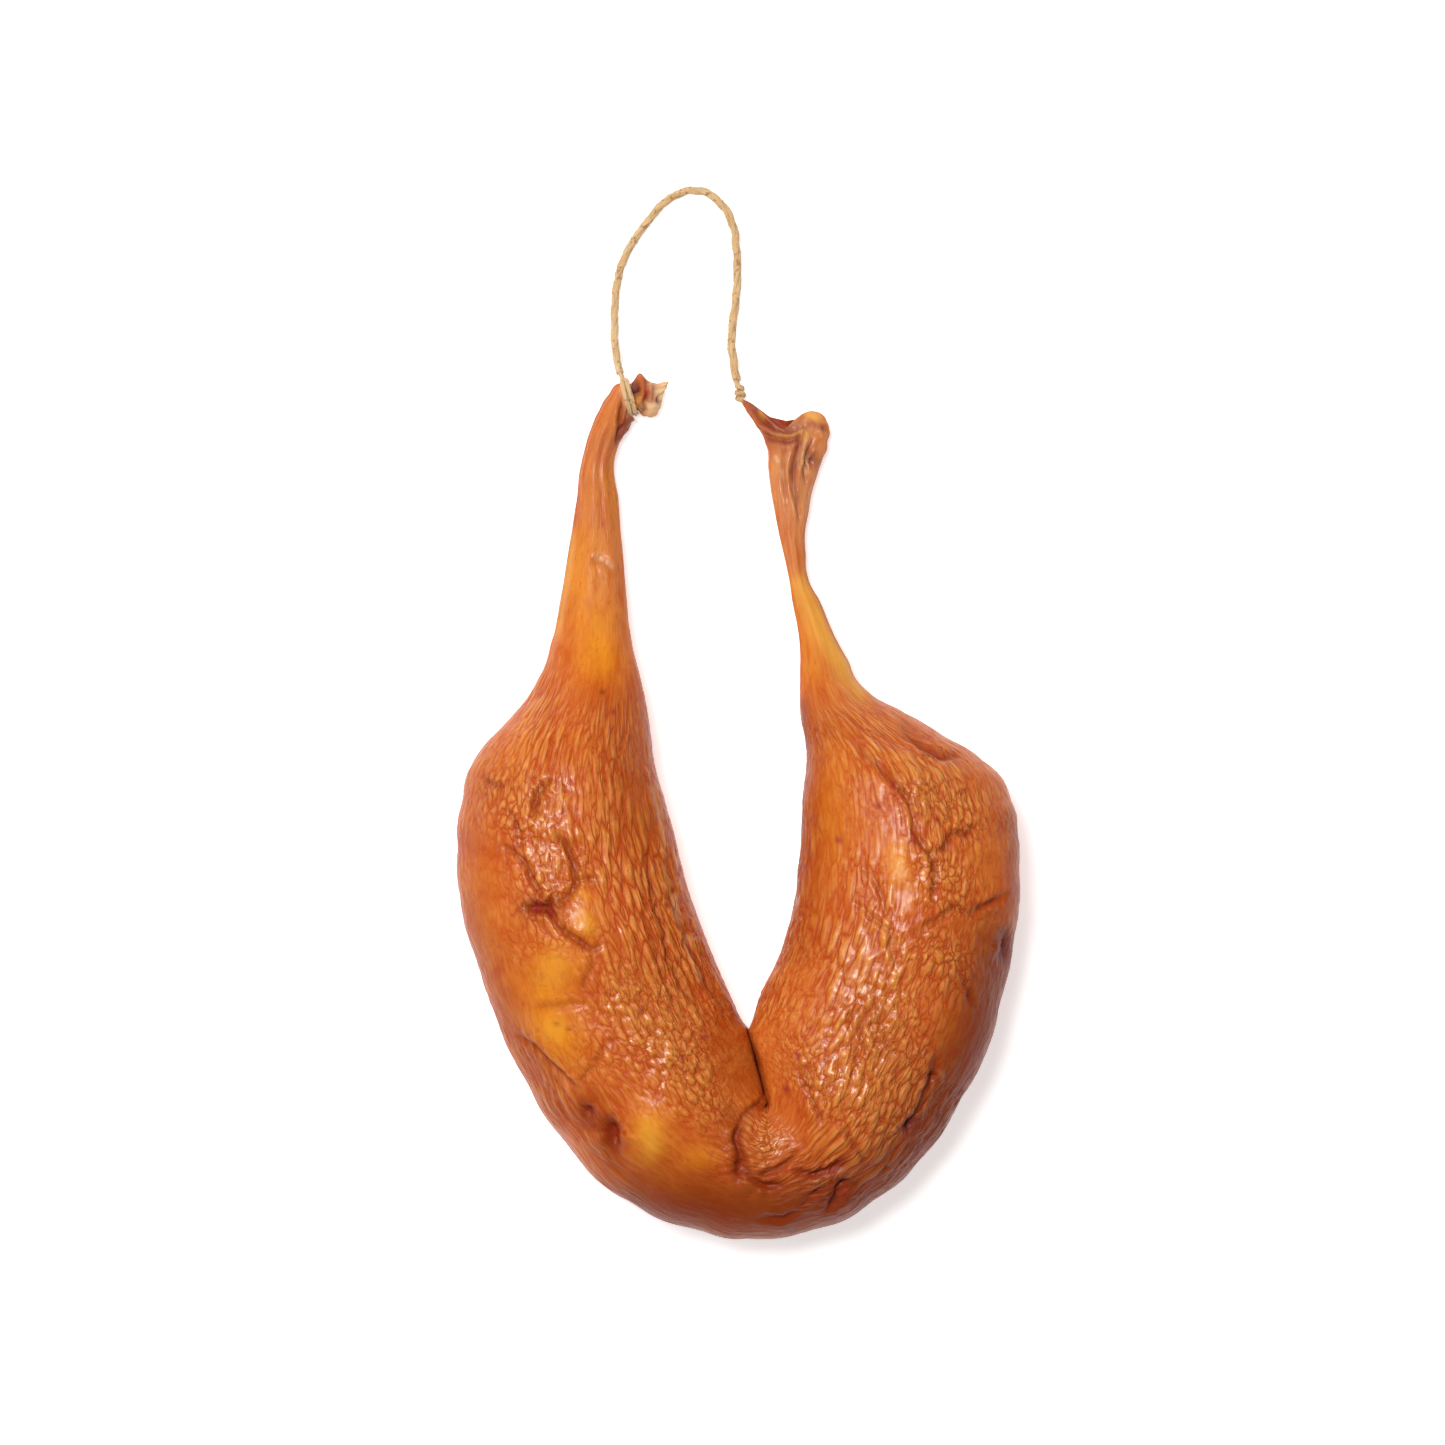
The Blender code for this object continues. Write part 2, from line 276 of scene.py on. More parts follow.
sausage = {
    "pointsAround": 150,
    "fineAngles": 1441,
    "moreOnTop": 0.68,  # how much closer the points lie on the upper side
    "finePlaces": 4001,
    "ringSteps": ((12.0, 24.0), (0.8, 0.53)),  # at these thicknesses, rings this far apart
    "endStep": 0.36,
    "endLength": 15.0,
    "lumpHeight": 1.1,
    "lumpSize": 17.0,
    "pleats": 9,
    "pleatDepth": 0.13,
    "pleatDrift": 0.6,
    "pleatDriftLength": 9.0,
    "pleatedThickness": 20.0,
    "flareDip": 5.0,
    "flareDipPlace": 0.1,
    "flareDipWidth": 0.54,
    "foldPoint": (4.6, -52.0),
    "foldReach": 14.0,
    "foldFullness": 0.35,
    "foldLine": [(1.9, -45.4), (3.3, -50.2), (4.5, -55.0), (5.3, -59.0)],  # where the limbs meet, in plan
    "foldGap": 0.03,
    "foldSlack": 0.1,
    "foldPress": 2.5,
    "foldEnds": 1.5,
    "foldWave": (0.45, 0.55),  # the pressed faces curve together: how far, and how fast with height
    "foldWidth": 1.3,
    "turnPoint": (5.2, -61.0),
    "turnReach": 9.0,
    "turnPull": 1.5,
    "wrinkleRadius": 20.0,  # the girth, as a radius, that the long wrinkles are spread round
    "girthSway": (0.9, 9.0, 31.0),  # each sway: how far, the size of its noise, its shift
    "alongSway": (2.2, 7.0, 37.0),
    "patchSway": (1.6, 13.0, 53.0),
    "patchShare": 0.34,
    "longRange": (0.16, 1.1),  # the least and the most that the wrinkles and the cells are raised
    "cellRange": (0.06, 1.2),
    "smoothing": 0.68,
    "thinCrinkle": 0.12,
    "thinPower": 1.5,
    "foldCrinkle": 0.3,
    "crumpledThickness": 5.0,
    "crumpleShift": 71.0,
    "edgeRings": 6.0,
    "creaseWander": 0.5,
    "wanderSize": 3.4,
    "wanderShifts": (11.0, 23.0),
    "thinWander": 0.3,
    # painted shade down the thin necks' sides, away from the light
    "paintedSideShade": 0.45,
    "redSpot": (0.62, 0.8),
    "speckRadius": 0.5,
    "creaseRed": 0.35,
    # how much the creases are darkened with painted shade
    "creaseShade": 0.9,
    "sideGold": 0.2,
    "pocket": [(1, 0.62, 0.95), (3, 0.4, 0.86), (6, 0.22, 0.76), (9, 0.1, 0.62)],
}

# The profile of a crease, in half widths from its line, and how it fades towards its ends
creaseShape = {
    "bodyEdge": (0.28, 0.2),  # how high the lip beside it stands, and how strongly that puckers
    "thinEdge": (0.5, 0.0),
    "groove": (1.15, 1.4),
    "trough": (0.2, 3.2),
    "lip": (2.3, 1.1),
    "pucker": (2.8, 2.2),
    "puckerPitch": 1.7,
    "puckerSway": (3.0, 0.9),
    "redWidth": 1.5,
    "endShare": 0.25,
    "shortestEnd": 0.4,
    "endDepth": 0.45,
    "reach": 4.0,
}

# Each row is one cut across: outer edge x and y, inner edge x and y, thickness, height of the middle
tuftRows = [
    (-14, 84.8, -15.3, 82, 1.8, 3.4),
    (-15.6, 84.7, -15.9, 79.4, 3.8, 3.8),
    (-17.2, 84.8, -17, 77.9, 5.4, 4.2),
    (-18.7, 85.1, -18.4, 77.8, 5.6, 4.6),
    (-19.9, 86.4, -19.6, 78.2, 5.4, 5),
]
leftNeckRows = [
    (-21.7, 84.2, -20.8, 79.4, 4.4, 5.4),
    (-23.7, 84.5, -21.6, 78.2, 5.4, 5.4),
    (-25.9, 82.2, -21.5, 76.8, 6.2, 5.2),
    (-27.7, 79.2, -22.3, 75.2, 6.2, 5),
    (-29.3, 75.6, -23.3, 73.6, 6, 4.8),
    (-30.5, 71.8, -24.3, 71.4, 5.8, 4.7),
    (-32.3, 61, -24.1, 61, 6.6, 5),
    (-34.3, 49, -23.3, 49.4, 8.6, 6.2),
    (-35.9, 40.6, -22.5, 41.4, 10.6, 7.6),
    (-37.9, 32, -21.5, 33.4, 13.6, 9.4),
    (-40.5, 25, -20.1, 26.2, 17.2, 11.4),
]
leftLimbRows = [
    (-45.7, 17, -18.7, 19, 23, 13.8),
    (-52.1, 9, -16.9, 11.4, 29, 15.6),
    (-55.3, 1, -15.1, 3, 32.4, 16.4),
    (-56.5, -9, -12.9, -7.6, 34.4, 16.8),
    (-55.5, -19, -10.1, -16.6, 35.2, 17),
    (-52.3, -31, -6.5, -26.6, 35.4, 17.1),
    (-48.3, -43, -3.3, -34.6, 35.2, 17),
]
bendRows = [
    (-42.5, -55.4, -0.3, -41.4, 35, 16.9),
    (-34.5, -67.4, 1.9, -46.2, 34.4, 16.6),
    (-21.9, -79, 2.9, -50.2, 33.4, 16.1),
    (-7.7, -85.4, 4.1, -54.6, 32.2, 15.5),
    (2.3, -87, 5, -58.2, 31.4, 15.1),
    (14.7, -85, 5.6, -57.4, 31.6, 15.2),
    (27.1, -79, 4.9, -54, 33, 15.9),
    (36.3, -71, 3.8, -50.2, 34.2, 16.5),
    (44.1, -59, 2.8, -46, 35, 16.9),
]
rightLimbRows = [
    (49.1, -50.2, 3.7, -40.6, 35.4, 17.1),
    (52.7, -39, 6.3, -34, 35.6, 17.2),
    (55.1, -27, 9.5, -26.2, 35.4, 17.1),
    (56.5, -13, 11.9, -13, 34.8, 16.8),
    (55.9, -5, 12.5, -5, 34, 16.5),
    (54.3, 1, 12.7, 1.4, 32.4, 16),
    (49.1, 9, 13.1, 7.4, 29, 15),
    (40.3, 14.2, 13.1, 12.6, 23.4, 13.6),
    (31.7, 18.6, 12.7, 17, 17.4, 11.8),
]
rightNeckRows = [
    (25.5, 22.6, 12.5, 21, 12.2, 9.6),
    (21.9, 29, 12.3, 27, 9, 7.6),
    (19.3, 33.8, 12.1, 32.6, 7.2, 6.4),
    (16.1, 41, 10.9, 40.6, 5.2, 5),
    (13.7, 45.8, 10.1, 46.2, 4.2, 4.3),
    (13.3, 50, 9.3, 49.8, 4.2, 4),
    (13.9, 59, 7.3, 58.6, 4.8, 3.8),
    (15.9, 67, 5.9, 67.4, 5.4, 3.8),
]
flareRows = [
    (17.9, 73, 5.1, 73, 5.6, 3.8),
    (18.1, 75, 4.2, 74.9, 5.2, 3.6),
    (17.6, 77, 2.9, 77, 4.4, 3.3),
    (16.5, 78.6, 1.4, 79.2, 3.4, 3),
    (14.7, 79.4, 0.2, 81.6, 2, 2.8),
]
cutRows = tuftRows + leftNeckRows + leftLimbRows + bendRows + rightLimbRows + rightNeckRows + flareRows

# Creases pressed into the upper side: depth, half width, how red they are and how much painted
# shade darkens them, then the x and y of each point of the line in plan
creases = [
    (0.9, 0.55, 0.7, -38, 5, -40, 2.4, -40.8, -2.2),
    (0.8, 0.5, 0.5, -46, -1, -44, -4, -43.6, -9),
    (0.9, 0.5, 0.7, -46.8, -8.4, -44.4, -9.8, -42.2, -12.4, -40.5, -15.6, -39, -18.2),
    (1, 0.55, 0.8, -36.5, -5.2, -34, -8, -32.6, -12, -32.4, -14.8, -33.4, -17.4, -35.4, -20),
    (0.6, 0.4, 0.5, -32.4, -15, -30, -14.4, -28, -14.6),
    (1.3, 0.8, 1, -42, -20.4, -38.6, -20.4, -36.4, -18.6),
    (1.2, 0.7, 1, -38.6, -20.4, -36.4, -22.2),
    (0.9, 0.55, 0.8, -36.4, -22.2, -34, -25.8, -31.2, -27.4, -29, -28.6, -27.4, -27.6),
    (0.6, 0.45, 0.4, -29, -28.6, -29.2, -32, -31, -36.2),
    (0.5, 0.6, 0.2, -40, -40.2, -35.6, -40.2, -31, -39.6),
    (0.8, 0.5, 0.5, -44, -46.4, -41, -48.2, -38.4, -51.2, -34.6, -54.8, -32, -56.2),
    (1.1, 0.8, 1, -30.2, -60.4, -29.4, -61.8),
    (2, 1.1, 1, -25.4, -63.4, -25.4, -65.8, -24.8, -68.4),
    (0.5, 0.5, 0.3, -25.8, -47.2, -27.6, -50.2, -31.4, -55.4),
    (0.6, 0.5, 0.5, -51.4, 5.6, -48.4, 3.8, -46.8, 4),
    (0.5, 0.5, 0.5, -18, -9, -17, -18, -15.4, -25, -13.6, -32, -7.8, -41),
    (0.4, 0.45, 0.3, -19.8, -13, -18.4, -22, -16.6, -29, -14, -36, -10.8, -42),
    (0.45, 0.5, 0.5, -14, -13, -12.4, -20, -9.8, -28, -6.4, -35, -2.8, -41),
    (0.8, 0.5, 0.6, 24.6, 11.2, 28.4, 7.2, 33.8, 1.4, 35, -3.2, 35.4, -6.2),
    (0.9, 0.5, 0.7, 35.4, -6.2, 37.4, -8.6, 38.8, -10.8, 39, -13.2, 38.6, -18.6),
    (0.9, 0.55, 0.7, 47, -4.2, 46.2, -5.6, 44, -5.2, 42, -6.2, 41.4, -8.6, 38.8, -9.4),
    (0.9, 0.5, 0.7, 52.6, -18, 49, -20, 46.4, -21.4),
    (0.8, 0.6, 0.5, 46.4, -21.4, 42.6, -20.4, 40.4, -22.2, 35.6, -25.2),
    (0.6, 0.45, 0.4, 23.4, -19.6, 28, -23.4, 30, -24.8, 30.6, -28.2, 31.4, -32.8),
    (0.45, 0.45, 0.3, 25, -12.4, 27.8, -16.2, 29.6, -21, 30, -22.8),
    (1.2, 0.8, 0.9, 33.4, 15.6, 36.8, 12.4, 40.6, 10, 44, 10.2),
    (1.2, 0.9, 1, 53, -26, 53.4, -28.2, 53, -31),
    (0.5, 0.42, 0.4, 23.4, -40.2, 24.8, -47.6, 28.4, -54.4),
    (0.45, 0.42, 0.4, 25.2, -39, 26.8, -46.2, 28.6, -50.6),
    (0.45, 0.42, 0.4, 22, -41.4, 23, -48.2, 24.4, -53),
    (0.45, 0.42, 0.4, 27, -39, 28.8, -45, 30.2, -49.4),
    (0.7, 0.5, 0.5, 39.4, -50.2, 38.6, -54.4, 36, -60, 34.4, -63.8),
    (0.9, 0.6, 0.8, 38.6, -53.6, 38.4, -54.8),
    (1.4, 0.9, 1, 35, -62.8, 34, -64.6),
    (0.6, 0.45, 0.5, 11.4, -52.6, 15, -59, 16.6, -63.2),
    (0.35, 0.35, 0.3, 12, -52.4, 14.8, -51.6),
    (0.35, 0.35, 0.3, 12.4, -53.6, 15.4, -53),
    (0.35, 0.35, 0.3, 12.6, -54.8, 15.6, -54.4),
    (0.35, 0.35, 0.3, 12.8, -56.2, 16, -55.8),
    (0.4, 0.35, 0.3, -8, -64.2, -3.8, -65.2),
    (0.4, 0.35, 0.3, -7.4, -65.6, -3, -66.8),
    (0.4, 0.35, 0.3, -6.4, -67.2, -2, -68.6),
    (0.7, 0.6, 0.6, 5, -59, 2.4, -60.4, 0.8, -62.6),
    (1.2, 0.7, 0.8, 0.8, -62.6, -0.2, -65.8, 0, -68.8, 1, -71.6),
    (1.1, 0.7, 0.7, 1, -71.6, 2.6, -74.2, 5, -75.8, 8, -75.8),
    (0.9, 0.55, 0.6, 11.4, -69.4, 10, -70.8, 7.8, -72.6, 5, -73.4, 2.8, -73),
    (1.4, 0.9, 1, -0.4, -71, 0.4, -73.8),
    (1, 0.6, 0.8, 11.8, -73.4, 15, -73.8, 18.4, -72.6, 21.6, -71.2),
    (1.2, 0.7, 0.9, 20.8, -75.4, 19.4, -78.8, 17.6, -81),
    (1.4, 0.9, 1, 20.6, -75.2, 21.4, -76.2),
    (0.8, 0.6, 0.7, 5, -82.2, 9, -82.6, 12, -81),
    (0.6, 0.5, 0.5, 24.8, -71.2, 22.4, -66.6, 21, -64.4),
    (0.6, 0.5, 0.5, 12.8, -79.6, 14.6, -78, 16.6, -76.4),
    (0.5, 0.45, 0.4, 44, -34, 45.6, -37, 46.4, -40),
    (0.9, 0.5, 0.3, -29.4, 48.6, -27.6, 49.2, -25.4, 47.8),
]

# Creases in the thin ends: the folded flap under the left tie, the tuft's ribs and the flare's folds
endCreases = [
    (0.7, 0.45, 0.6, -23.2, 82, -23.6, 77, -24.4, 72.6),
    (0.5, 0.4, 0.5, -22, 79.4, -22.6, 76.4, -23.4, 74.4),
    (1.5, 0.9, 1, -20.9, 84, -20.6, 82.6),
    (0.5, 0.35, 0.5, -18.8, 85, -18.4, 82, -18.8, 79),
    (0.45, 0.35, 0.7, -17, 85, -16.9, 82.4, -17.4, 80.8),
    (0.45, 0.3, 0.7, -16.1, 82.2, -15.8, 80.4),
    (0.9, 0.6, 1, 3.8, 79, 5.4, 76.8, 7.4, 75.4, 10.4, 74.9, 13.4, 76),
    (0.8, 0.6, 1, 4.8, 75, 6.4, 73.7, 9.6, 73.1, 11.8, 73.6, 13.4, 75.2),
    (0.7, 0.45, 0.8, 12.8, 74.6, 12.2, 72, 11.3, 69.6, 10.9, 66.8, 11.5, 63.4),
    (0.6, 0.4, 0.7, 14.8, 73, 13.6, 70, 13.2, 67, 13.8, 64.6),
    (0.7, 0.8, 0.6, 14.6, 69.6, 14.8, 68.2),
    (0.6, 0.35, 1, 16.7, 75.9, 17.1, 75.4),
    (0.5, 0.4, 0.5, 10.2, 65, 11.6, 61, 12.2, 57.6),
    (0.4, 0.4, 0.4, 9.2, 70.4, 8.8, 66, 9.4, 62),
]

# Where the thin ends are crumpled: x, y, reach, depth, size
crumples = [
    (-17.6, 81.8, 3.4, 1.3, 1.5),
    (-22.8, 77, 3, 0.7, 1.6),
    (13.2, 74.5, 5, 0.9, 1.9),
    (2, 80.5, 2.4, 0.6, 1.2),
]

# Rounded rises on the upper side: x, y, radius, height
bulges = [
    (-35.4, -32.4, 6.8, 0.9),
    (-36.4, -44.6, 6.4, 0.9),
    (-17.4, -65.6, 6, 0.8),
    (-8.4, -70, 4, 0.5),
    (5.2, -65.4, 4.8, 1.5),
    (-30.4, -24.4, 2, 0.5),
    (-31.2, -20, 3.6, 0.3),
    (31.8, -12.6, 3.2, 0.4),
    (14, -60.4, 1.8, 0.35),
    (31.8, -42.6, 1.6, 0.5),
    (24.8, -69, 3.2, 0.5),
    (32.4, -70, 3.6, 0.5),
]

# Where the skin changes, and where shade and highlights are painted into its colour: strength, reach, then
# the x and y of each point of the line that it follows
longZones = [
    (1, 8, -23.8, -7, -17.8, -31, -9.8, -47),
    (1, 9, 20.4, 17, 32.4, 1),
    (1, 8, 22.4, -15, 26.4, -55),
    (0.9, 4, 13.4, -3, 10.4, -25, 5.4, -39),
    (0.8, 6, -39.8, 21, -35.8, 3),
    (0.7, 6, -27.8, 17, -21.8, -7),
    (0.9, 3.5, -17, 6, -13, -14, -8, -32),
    (0.9, 6, 20, -73, 32, -68, 42, -56),
    (0.5, 6, -30, -68, -44, -52),
]
cellZones = [
    (1, 7, -43.8, 1, -35.8, -15),
    (1, 8, -21.8, -39, -7.8, -57),
    (1, 8, 12.4, -50, 28.4, -61),
    (1.2, 7, 39.4, 3, 45.4, -1),
    (1, 6, 37.4, -9, 41.4, -16),
    (0.9, 6, 37.4, -29, 45.4, -35),
    (1, 7, 29.4, -41, 32.4, -55),
    (0.6, 6, -38.8, -15, -36.8, -25),
    (0.9, 4.5, 5.2, -65.4, 5.2, -67),
]
smoothZones = [
    (1, 6, -35.4, -32.4, -36.4, -44.6),
    (1, 6, -17.4, -65.6, -8.4, -70),
    (1, 7, -15.8, -77, 2.4, -82),
    (0.8, 5, -51.8, -9, -49.8, -31, -43.8, -43),
    (0.8, 5, 48.4, -37, 44.4, -51),
    (0.8, 5, 18.4, 9, 18.4, -19),
    (0.7, 5, -19.8, 5, -18.8, -5),
    (0.8, 5, -3.8, -47, -0.8, -54),
    (0.7, 4, 52.4, -9, 53.4, -19),
    (0.7, 4, 49.4, 7, 52.4, 1),
    (1, 3.4, -31.4, -18.4, -30.4, -24.4),
    (0.9, 8, -28, 40, -27, 24),
    (0.8, 6, 15, 36, 16, 20),
    (1, 3.6, 31.8, -11, 32, -13.4),
    (0.7, 5, 28, 4, 30.6, -8),
]
fatZones = [
    (0.95, 6, -36.4, -31.4, -38.2, -35.2),
    (1, 5.6, -37.4, -42.6, -36, -46.6),
    (1, 3.6, -17.8, -63.4, -17.4, -68),
    (0.8, 2.6, -8.4, -69.6, -7.8, -70.2),
    (1, 3.4, 31.6, -11, 32, -13.6),
    (0.9, 4.5, -29.4, 37, -27.8, 28),
    (0.6, 3.2, -31, 53, -32, 43),
    (0.5, 2.6, -26.4, 66, -27, 60),
    (0.5, 2.4, 13, 36, 14.4, 26),
    (0.9, 3, -31.4, -18.4, -30.4, -24.4),
    (0.5, 5, -43.8, 13, -47.8, 9),
    (0.4, 4, 19.4, 17, 19.4, -11),
]
# Brown marks and painted shade: the horn, the flare's curved lines and its streaks are the casing's own
# brown; the rest is painted shade on the bottom, the outer sides, the inner edges, the fold, in a deep
# crease and under the left flap
darkAndShadeZones = [
    (0.5, 1.6, 1.6, 80.8, 4.6, 77),
    (0.4, 2.2, 6.4, 74, 9.6, 73.2, 12.6, 73.8),
    (0.3, 5, 14, 16, 14, -10, 11.4, -28),
    (0.3, 6, -23, 18, -20, -2),
    (0.3, 5, -4, -45, 0, -55),
    (1, 9, -19.8, -80, -7.8, -81, 10.4, -82, 24.4, -78),
    (1, 8, 53.4, -30, 48.4, -46, 38.4, -66, 24.4, -80),
    (0.6, 4, 56.4, -28, 57.4, -14, 56.4, -4),
    (0.4, 4, -53.8, -19, -47.8, -41, -35.8, -61),
    (0.25, 5, -51, 6, -55, -10, -53, -26),
    (0.6, 4, -31, -60, -27, -66, -24, -73),
    (0.5, 2.6, -2, -61, -0.6, -70, 3, -75),
    (0.6, 5, 12, -76, 22, -75, 31, -70),
    (0.45, 2.5, -42, -20.4, -37, -20.4),
    (0.5, 0.6, 5.3, 77.2, 6.9, 75.6, 9.1, 74.9, 11, 75.6, 12.9, 77.8),
    (0.5, 0.5, 11.4, 68.6, 10.4, 66.9, 12, 61.2),
    (0.4, 1.6, -20.4, 79.9, -23.4, 76.4, -24.6, 73),
]
redZones = [
    (0.3, 2.6, 7.4, 72.6, 10, 72),
    (0.26, 1.6, 2, 80.4, 6, 76.4),
    (0.24, 1.2, 10.4, 76.4, 12.4, 78),
    (0.3, 1.4, -18.6, 82.1, -20.2, 79.8),
    (0.22, 3, -27, 72, -27.6, 60),
    (0.1, 3, 10, 66, 10, 50),
]
paleZones = [
    (1, 5, -22.6, 80, -27, 68, -28.4, 50, -28.4, 36),
    (1, 7, 10, 77, 11, 62, 11, 48),
    (0.6, 5, 17, 36, 22, 20, 25, 6),
    (0.5, 5, 34, 8, 42, 3),
    (1, 4.6, 5.2, -64.6, 5.2, -67),
    (0.5, 6, 28, -24, 27, -48),
]
# Gold of the thin casing along the necks and the flare, and painted highlights on the tops of the fat
# bulges
goldAndHighlightZones = [
    (0.5, 1.8, -34.2, 53, -36, 41, -37.6, 35),
    # these five rows are painted highlights on the bulges' tops
    (0.42, 2.4, -17.8, -64.6, -17.2, -67),
    (0.24, 3, -36.2, -31.8, -37, -33.6),
    (0.24, 2.6, -37, -43.6, -37, -44.4),
    (0.35, 1.6, 31.8, -11.4, 32, -13),
    (0.35, 1.6, -30.6, -22.8, -30.4, -24),
    (0.6, 2.4, 12.2, 44, 16.6, 35, 21.2, 28, 24.6, 23),
    (0.6, 0.9, 14.2, 78.5, 15.8, 77.8),
    (0.7, 0.7, 4.5, 78.6, 4.9, 77.8),
    (0.5, 0.55, 6.9, 74, 9.7, 73.8, 12.3, 74.9),
    (0.5, 0.6, 13.5, 74.4, 13.2, 73.4),
    (0.5, 1.2, -19.8, 81.6, -19.2, 80.8),
]
# Cream of the tuft's folds and the twine's pale band, and painted glints on the flare's ridges, by the
# knot, on the neck's cross crease and along the left limb's inner edge
creamAndGlintZones = [
    (0.9, 1.9, -15.2, 84, -16, 80.2, -17.4, 79.4),
    (0.5, 1.2, -17.2, 84.4, -17, 82),
    (0.6, 0.9, -21.9, 86.6, -22.8, 82.6, -21.7, 80.3, -21.3, 78.6),
    (0.8, 0.7, 0, 81.7, 0.1, 81.2),
    (0.45, 0.7, 1.4, 82.4, 2.2, 81.6),
    (0.55, 0.5, 7.6, 69.9, 7.9, 69.1),
    (0.4, 0.5, 8.6, 67, 8.7, 66),
    (0.5, 0.45, 13, 70.6, 12.8, 68.6, 13.6, 66.6),
    (0.35, 0.4, 13.4, 73, 12.3, 71.2, 11.7, 69.2, 11.9, 67.6),
    (0.14, 7, 11, 76, 11, 62),
    (0.35, 0.6, -28.2, 49.6, -26.6, 49, -25.4, 48),
    (0.3, 0.4, -16.8, 4, -15.8, -2, -14.6, -8),
    (0.3, 0.4, -10.6, -26, -9.2, -31, -7.6, -35),
    (0.25, 0.4, -12.4, -18, -11.4, -23),
]
# Painted shade in holes, pits, folds and the slit between the limbs, and a few dark purple spots of the
# casing's own
purpleSpotAndShadeZones = [
    (1, 1.2, -21.1, 84.2, -20.8, 82.8),
    (0.6, 1, -19.2, 79.6, -20.6, 78.4, -22, 76, -23.4, 74),
    (0.6, 1.2, 14.7, 70, 14.9, 68.8),
    (0.5, 0.8, 14.6, 76.4, 16.6, 75.8),
    (0.5, 0.6, 7.4, 76.8, 8.6, 76.4, 10, 76.6),
    (0.5, 0.7, 1.6, 81.2, 3.4, 79.6),
    (0.5, 0.7, 13.2, 21, 13.2, 8, 12.8, -8, 11.4, -18),
    (0.5, 0.8, 16.9, 75.7, 17, 75.4),
    (0.6, 1, 53, -26, 53.4, -28.4, 53, -31),
    (0.5, 1, 35, -62.8, 34, -64.6),
    (0.6, 0.9, 2.2, -46, 3.4, -50, 4.6, -56),
]
glossZones = [
    (1, 6, 12, 76, 11, 64),
    (0.5, 4, -26, 72, -28, 44),
    (0.5, 4, -36, -32, -36, -45),
    (0.6, 3, -31, -18, -30.4, -24),
]
redSpots = [
    (6.6, -59.8), (9.6, -56.8), (11.8, -50.2), (-19.4, -40.8), (-6.8, -46.2), (-11.4, -50.2), (20, -7.2),
    (34.2, -5.2), (34.8, -7.2), (39.6, -3.2), (28, 0.2), (30.8, 4), (-25, 18.4), (-40.4, -20.4),
    (-37.2, -21.2), (-18.6, 82.2), (-16.2, 81.2),
]
blackSpecks = [(-27.4, 22.6), (-36, -43.4), (-33.8, -44.4), (-30, -61)]


def nearestOnLine(plan, line):
    nearest = np.full(plan.shape[:-1], 1e9)
    along = np.zeros(plan.shape[:-1])
    passed = 0.0
    line = np.reshape(line, (-1, 2)).astype(float)
    for start, end in zip(line[:-1], line[1:]):
        run = end - start
        length = np.hypot(*run)
        part = clamped(((plan - start) @ run) / length**2)
        gap = plan - start - part[..., None] * run
        distance = np.hypot(gap[..., 0], gap[..., 1])
        closer = distance < nearest
        nearest = np.where(closer, distance, nearest)
        along = np.where(closer, passed + part * length, along)
        passed += length
    return nearest, along, passed


def zoneStrength(plan, zones):
    strength = np.zeros(plan.shape[:-1])
    for amount, reach, *line in zones:
        strength = np.maximum(strength, amount * bell(nearestOnLine(plan, line)[0], reach))
    return strength


def spotStrength(plan, spots, radius, squeeze=1.0):
    strength = np.zeros(plan.shape[:-1])
    for x, y in spots:
        strength = np.maximum(strength, bell(planDistance(plan, x, y, squeeze), radius))
    return strength


def ringAngles():
    fine = np.linspace(0.0, fullTurn, sausage["fineAngles"])
    density = 1.0 + sausage["moreOnTop"] * np.sin(fine)
    passed = np.concatenate([[0.0], np.cumsum((density[1:] + density[:-1]) / 2.0)])
    wanted = np.arange(sausage["pointsAround"]) / sausage["pointsAround"] * passed[-1]
    return np.interp(wanted, passed, fine)


def ringPlaces(knots, rows):
    fine = np.linspace(0.0, knots[-1], sausage["finePlaces"])
    step = np.interp(np.interp(fine, knots, rows[:, 4]), *sausage["ringSteps"])
    nearEnd = np.minimum(fine, knots[-1] - fine) < sausage["endLength"]
    step = np.where(nearEnd, sausage["endStep"], step)
    passed = np.concatenate([[0.0], np.cumsum(np.diff(fine) / step[1:])])
    return np.interp(np.linspace(0.0, passed[-1], int(passed[-1]) + 1), passed, fine)


def ringOfCut(cut, angle, dip):
    outer = np.array([cut[0], cut[1], 0.0])
    inner = np.array([cut[2], cut[3], 0.0])
    across = np.cos(angle)
    up = np.sin(angle)
    nearFold = bell(np.hypot(*(inner[:2] - sausage["foldPoint"])), sausage["foldReach"])
    power = 1.0 - sausage["foldFullness"] * nearFold * clamped(-across)
    ring = (outer + inner) / 2.0 + across[:, None] * (outer - inner) / 2.0
    ring[:, 1] -= dip
    ring[:, 2] = cut[5] + np.sign(up) * np.abs(up) ** power * cut[4] / 2.0
    return ring


def plainSausage():
    rows = np.array(cutRows)
    knots = pointDistances((rows[:, 0:2] + rows[:, 2:4]) / 2.0)
    places = ringPlaces(knots, rows)
    cuts = smoothRows(knots, rows, places)
    angle = ringAngles()
    flareStart = knots[-len(flareRows) - 1]
    grown = clamped((places - flareStart) / (knots[-1] - flareStart)) ** 2
    valley = bell(np.cos(angle) - sausage["flareDipPlace"], sausage["flareDipWidth"])
    dips = sausage["flareDip"] * grown[:, None] * valley[None, :]
    grid = np.array([ringOfCut(cut, angle, dip) for cut, dip in zip(cuts, dips)])
    return grid, cuts, places, angle, dips


def gridNormals(grid):
    normals = np.cross(np.gradient(grid, axis=0), np.roll(grid, -1, axis=1) - np.roll(grid, 1, axis=1))
    return normals / np.maximum(np.linalg.norm(normals, axis=2, keepdims=True), 1e-9)


